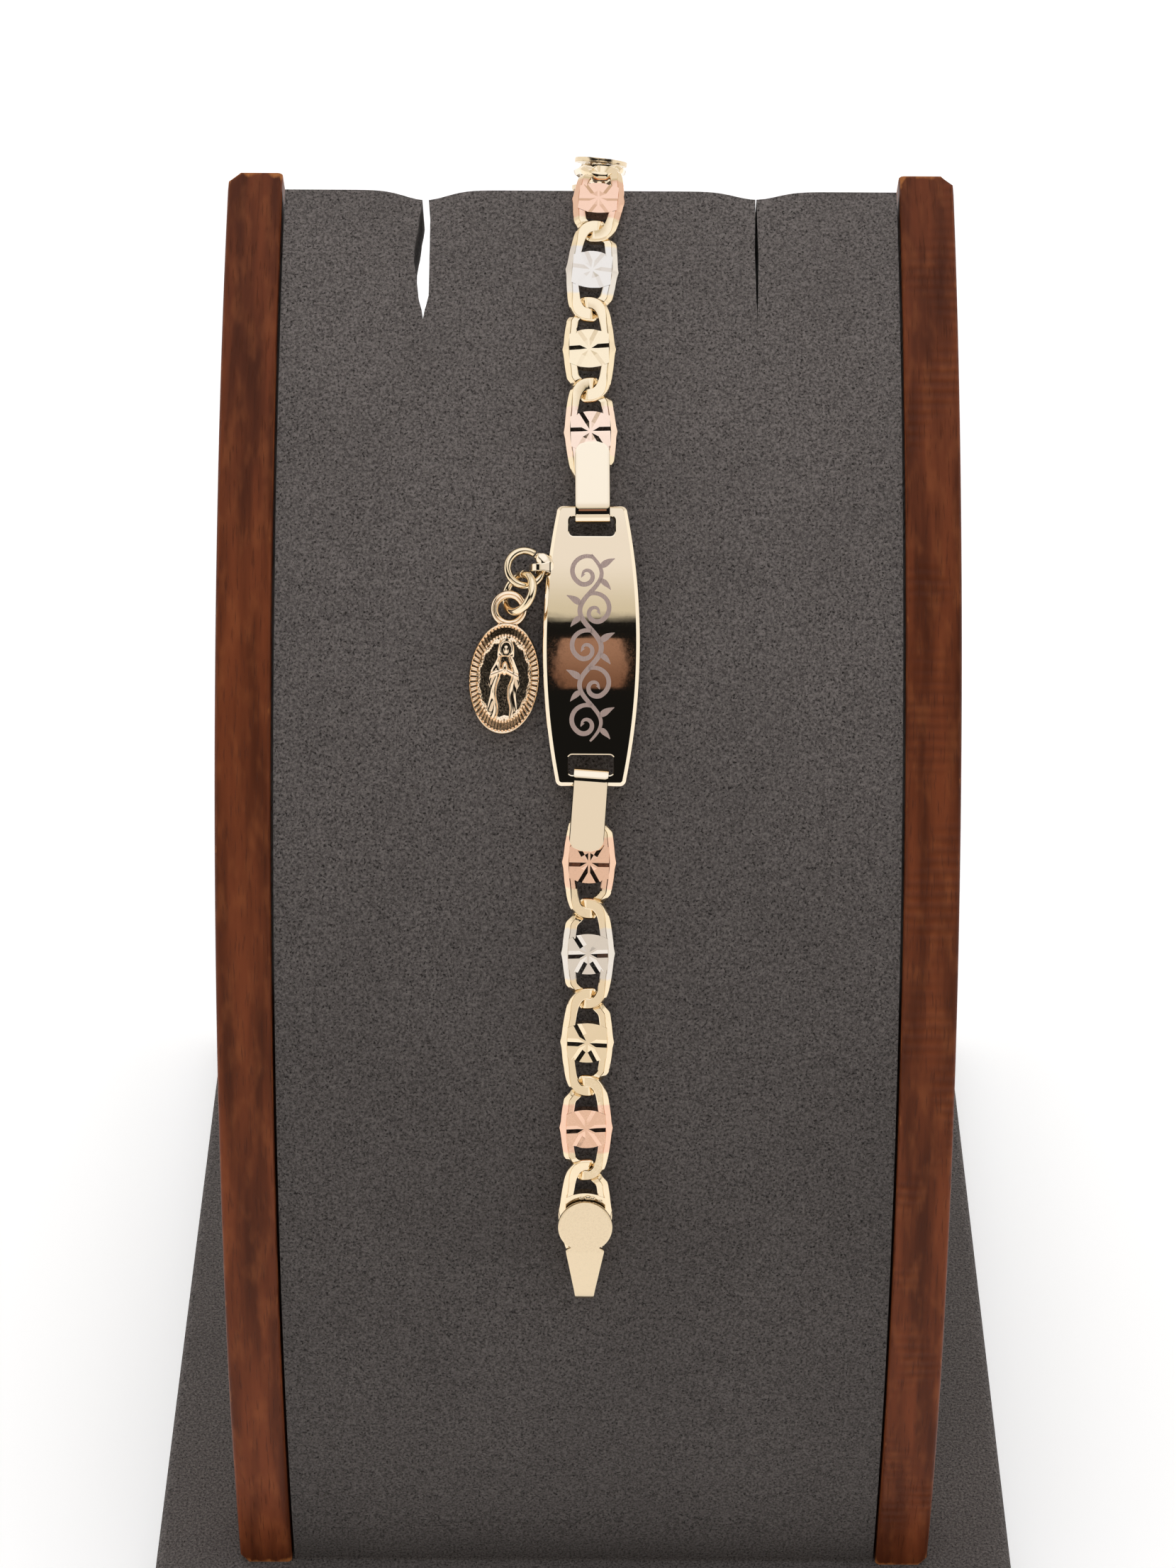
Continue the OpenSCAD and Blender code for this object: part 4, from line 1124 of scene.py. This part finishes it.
# the side eye: a strip bent round, with a blob of solder where it meets the plate
def makeEye():
    outer = plate["eyeHole"] / 2 + plate["eyeT"]
    path = bent(0.35, outer, -plate["eyeHole"] / 2, outer, 8)
    path += turned(-plate["eyeHole"] / 2, 0, outer, 90, 270, 20)
    path += bent(-plate["eyeHole"] / 2, -outer, 0.35, -outer, 8) + [(0.35, -outer)]
    path = [(-y, z) for y, z in path]
    bm = foldedSheet(path, [0.42 + 0.22 * ease((0.5 - y) / 0.8) for y, z in path], plate["eyeT"], 6, 0.12)
    bm.transform(turnedOn("Z", 90))
    blob = bmesh.new()
    bmesh.ops.create_icosphere(blob, subdivisions=4, radius=1)
    for vert in blob.verts:
        vert.co += vert.co.normalized() * 0.1 * noise.noise(vert.co * 1.7)
    blob.transform(moved(-0.25, 0.62, 0.3) @ turnedOn("Z", -50) @ Matrix.Diagonal((1.25, 0.78, 0.62, 1)))
    blob.loops.layers.uv.new("onLink")
    joinInto(bm, blob)
    eyeX, eyeH = plate["x"] - plateHalf(plate["eyeUp"]), chainH + (plateFrontZ + plateBackZ) / 2
    bm.transform(facePlace(plate["s"] + plate["eyeUp"], eyeX, eyeH))
    return bm


def makeNameplate():
    bm = makePlate()
    bm.loops.layers.uv.new("onLink")
    bmesh.ops.recalc_face_normals(bm, faces=bm.faces)
    joinInto(bm, makeEye())
    part = makeVine()
    part.loops.layers.uv.new("onLink")
    for face in part.faces:
        face.material_index = 1
    joinInto(bm, part)
    finishPiece(bm, "curved_nameplate", [paintedHighlightGold, satinRose], ["nameplate"], 24)


makeNameplate()
print("plate made")

# rings: round wire with a cut in it
rings = {
    "jump_ring_1": {"at": (121.02, -6.84, 1.98), "turn": (0, 8.8, 9.2), "r": 1.88, "wire": 0.42, "cut": 45},
    "jump_ring_2": {"at": (118.34, -7.45, 2.23), "turn": (0, -48.4, -18.5), "r": 2.1, "wire": 0.45, "cut": 95},
}


def makeRing(r, wire, cut, gap=5.0):
    bm = bmesh.new()
    bmesh.ops.create_circle(bm, cap_ends=False, segments=24, radius=wire)
    bm.transform(moved(r) @ turnedOn("X", 90))
    bm.transform(turnedOn("Z", cut + gap / 2))
    spinAround(bm, 84, 360 - gap)
    closeHoles(bm)
    roundEdges(bm, [e for face in bm.faces if len(face.verts) > 4 for e in face.edges], 0.05, 2)
    return bm


def turnedBy(x, y, z):
    return turnedOn("Z", z) @ turnedOn("Y", y) @ turnedOn("X", x)


for name, one in rings.items():
    bm = makeRing(one["r"], one["wire"], one["cut"])
    bm.transform(facePlace(*one["at"]) @ turnedBy(*one["turn"]))
    finishPiece(bm, "wire_" + name, [gold], [name], 50)
print("rings made")

# the medal: an oval whose heights are worked out over its face, with pockets in its rim, a wavy border and a
# robed figure
medal = {
    "s": 109.45, "x": -8.98, "lean": -3.7, "tilt": 4.2, "w": 7.6, "h": 11.9, "ground": 0.65, "pockets": 60,
    "edgeFrom": 0.955, "pocketFrom": 0.76, "waveAt": 0.715, "waves": 15, "bailY": 7.41, "bailR": 2.0,
    "bailHole": 1.12, "bailT": 0.9, "figureWide": 1.3, "figureTall": 1.12,
}
# half width of the robe at heights up the medal
robe = ((-4.75, 1.25), (-4.3, 1.5), (-3.2, 1.36), (-1.6, 1.3), (-0.2, 1.38), (0.9, 1.3),
        (1.7, 1.0), (2.2, 0.8), (2.8, 0.78), (3.3, 0.66), (3.75, 0.4), (4.0, 0.08))
# the blossoms at the foot: across, up, and radius
blossoms = ((0, -4.45, 0.42), (-0.75, -4.3, 0.38), (0.75, -4.3, 0.38), (-1.4, -3.95, 0.3), (1.4, -3.95, 0.3))


def robeHalf(y):
    if y <= robe[0][0] or y >= robe[-1][0]:
        return 0.0
    for (a, wa), (b, wb) in zip(robe, robe[1:]):
        if y <= b:
            return wa + (wb - wa) * (y - a) / (b - a)
    return 0.0


def bump(x, y, cx, cy, rx, ry, high):
    d = ((x - cx) / rx) ** 2 + ((y - cy) / ry) ** 2
    return high * math.sqrt(1 - d) if d < 1 else 0.0


def medalHeight(x, y, share, a):
    ground = medal["ground"]
    if share > medal["edgeFrom"]:
        t = (share - medal["edgeFrom"]) / (1 - medal["edgeFrom"])
        return 0.93 + 0.2 * math.sqrt(max(0, 1 - (2 * t - 0.8) ** 2 / 1.5))
    if share > medal["pocketFrom"]:
        rib = math.cos(medal["pockets"] * a)
        inner = ease((share - medal["pocketFrom"]) / 0.02) * ease((medal["edgeFrom"] - share) / 0.02)
        return 1.06 - 0.24 * inner * ease(0.35 - 1.8 * rib)
    border = medal["waveAt"] + 0.014 * math.cos(medal["waves"] * a)
    d = abs(share - border) / 0.038
    h = ground + (0.42 * math.sqrt(1 - d * d) if d < 1 else 0.0)
    if share > border:
        h = max(h, ground + 0.16)
    x, y = x / medal["figureWide"], (y + 0.1) / medal["figureTall"]
    half = robeHalf(y)
    if abs(x) < half:
        u = abs(x) / half
        high = 0.5 * math.sqrt(1 - u ** 3)
        if y < 2.2:
            # the mantle's two edges stand over a smooth gown, with folds that run down from the shoulders
            edgeAt = 0.34 + 0.10 * math.sin(1.7 * y + 0.4) * (1 if x > 0 else -1)
            inside = ease((edgeAt + 0.10 - u) / 0.12)
            high += 0.12 * math.exp(-((u - edgeAt - 0.12) / 0.10) ** 2) - 0.26 * inside
            high += 0.05 * math.sin(9 * u + 2.2 * y) * (1 - inside)
            high += 0.02 * math.cos(16 * x) * inside
        h = max(h, ground + high)
    # the veil round the face, the face, the joined hands, the sleeves, and blossoms at the foot
    veil = ((x / 0.5) ** 2 + ((y - 2.95) / 0.72) ** 2) ** 0.5
    h = max(h, ground + 0.4 + 0.12 * math.exp(-((veil - 1) / 0.2) ** 2) if veil < 1.25 and y > 2.3 else 0)
    h = max(h, ground + 0.22 + bump(x, y, 0, 2.85, 0.36, 0.55, 0.36) + bump(x, y, 0, 2.82, 0.07, 0.22, 0.05))
    h = max(h, ground + 0.3 + bump(x, y, 0, 1.05, 0.27, 0.62, 0.42))
    for side in (-1, 1):
        along = side * x
        if 0.1 < along < 1.15:
            d = abs(y - (0.95 - 0.55 * along)) / 0.27
            if d < 1:
                h = max(h, ground + 0.34 + 0.26 * math.sqrt(1 - d * d))
    for cx, cy, r in blossoms:
        d = math.hypot(x - cx, y - cy)
        petals = r * (1 + 0.16 * math.cos(5 * math.atan2(y - cy, x - cx)))
        if d < petals:
            dimple = 0.1 * math.exp(-(d / 0.09) ** 2)
            h = max(h, ground + 0.2 + 0.34 * math.sqrt(1 - (d / petals) ** 2) - dimple)
    return h


def makeMedal():
    bm = bmesh.new()
    rows = 66
    line = [(0.004 + 0.996 * i / rows, 0, 2) for i in range(rows + 1)]
    addLine(bm, line + [(1, 0, 0.45), (1, 0, 0.12), (0.985, 0, 0.02), (0.004, 0, 0.02)])
    spinAround(bm, 420)
    for vert in bm.verts:
        a, share = math.atan2(vert.co.y, vert.co.x), math.hypot(vert.co.x, vert.co.y)
        x, y = medal["w"] / 2 * share * math.cos(a), medal["h"] / 2 * share * math.sin(a)
        z = medalHeight(x, y, share, a) if vert.co.z > 1.5 else vert.co.z + (0.35 if vert.co.z > 0.4 else 0)
        vert.co = Vector((x, y, z))
    closeHoles(bm)
    bail = bmesh.new()
    r0, r1, t = medal["bailHole"], medal["bailR"], medal["bailT"] / 2
    mid = (r0 + r1) / 2
    outline = [(r0 + 0.12, -t), (r1 - 0.12, -t)]
    for i in range(25):
        # a round wire with a fine line pressed along its top
        x, z = mid + (r1 - r0) / 2 * math.cos(math.pi * i / 24), t * math.sin(math.pi * i / 24)
        outline.append((x, z - 0.13 * math.exp(-((x - mid) / 0.05) ** 2)))
    addLine(bail, [(x, 0, z) for x, z in outline], True)
    spinAround(bail, 90)
    bail.transform(moved(0, medal["bailY"], t + 0.04))
    joinInto(bm, bail)
    half = medal["h"] / 2
    bm.transform(facePlace(medal["s"], medal["x"], chain["layGap"], medal["lean"]) @ moved(0, -half)
                 @ turnedOn("X", medal["tilt"]) @ moved(0, half))
    return bm


finishPiece(makeMedal(), "cast_medal", [charmGold], ["medal"], 40)
print("medal made")

# the hidden end behind the stand: a ring through the upper cap's fold, and a closed clasp
clasp = {
    "ringR": 2.7, "ringWire": 0.34, "len": 11, "w": 5, "t": 2, "eyeR": 1.5, "eyeHole": 0.75, "lift": 0.1,
    "frameW": 1.4,
}
foldCentre = run["crestPitch"] / 2 + cap["reach"] - cap["tailT"] / 2
hang = (aim(crest, overEnd) @ moved(0, foldCentre - 0.1, (capFront + capBack) / 2 + 0.12)
        @ turnedOn("X", -run["overAngle"]))
bm = makeRing(clasp["ringR"], clasp["ringWire"], 200, 2.5)
bm.transform(hang @ moved(0, 0, -clasp["ringR"]) @ turnedOn("X", 90))
finishPiece(bm, "wire_clasp_ring", [gold], ["clasp_ring"], 50)


def makeClasp():
    bm = bmesh.new()
    bodyR = clasp["w"] / 2
    top = -clasp["eyeR"] / 2 - clasp["eyeHole"] / 2
    bottom = clasp["eyeR"] - clasp["len"] + bodyR
    halfFrame = clasp["frameW"] / 2
    bmesh.ops.create_circle(bm, cap_ends=False, segments=28, radius=1)
    for vert in bm.verts:
        # a full, softly squared section
        x, y, z = vert.co
        across = bodyR - halfFrame + halfFrame * signedPow(x, 0.6)
        vert.co = Vector((across, 0, clasp["t"] / 2 * signedPow(y, 0.6)))
    spinAround(bm, 96)
    upperY, lowerY = top - bodyR, bottom
    for vert in bm.verts:
        vert.co.y += upperY if vert.co.y > 0.001 else lowerY
    eye = bmesh.new()
    mid, wire = (clasp["eyeR"] + clasp["eyeHole"]) / 2, (clasp["eyeR"] - clasp["eyeHole"]) / 2
    bmesh.ops.create_circle(eye, cap_ends=False, segments=20, radius=1)
    for vert in eye.verts:
        x, y, z = vert.co
        vert.co = Vector((mid + wire * x, 0, 0.72 * clasp["t"] / 2 * signedPow(y, 0.75)))
    spinAround(eye, 64)
    joinInto(bm, eye)
    # the latch's little thumb piece
    knob = bmesh.new()
    bmesh.ops.create_cube(knob, size=1)
    bmesh.ops.scale(knob, vec=(0.5, 1.6, 1.1), verts=knob.verts)
    roundEdges(knob, knob.edges[:], 0.2, 4)
    knob.transform(moved(bodyR - 0.3, upperY - 0.6, 0))
    joinInto(bm, knob)
    bm.transform(hang @ moved(0, 0, clasp["lift"] - 2 * clasp["ringR"])
                 @ turnedOn("Z", 90) @ turnedOn("X", 90))
    return bm


finishPiece(makeClasp(), "closed_clasp", [gold], ["clasp"], 40)
print("clasp made")
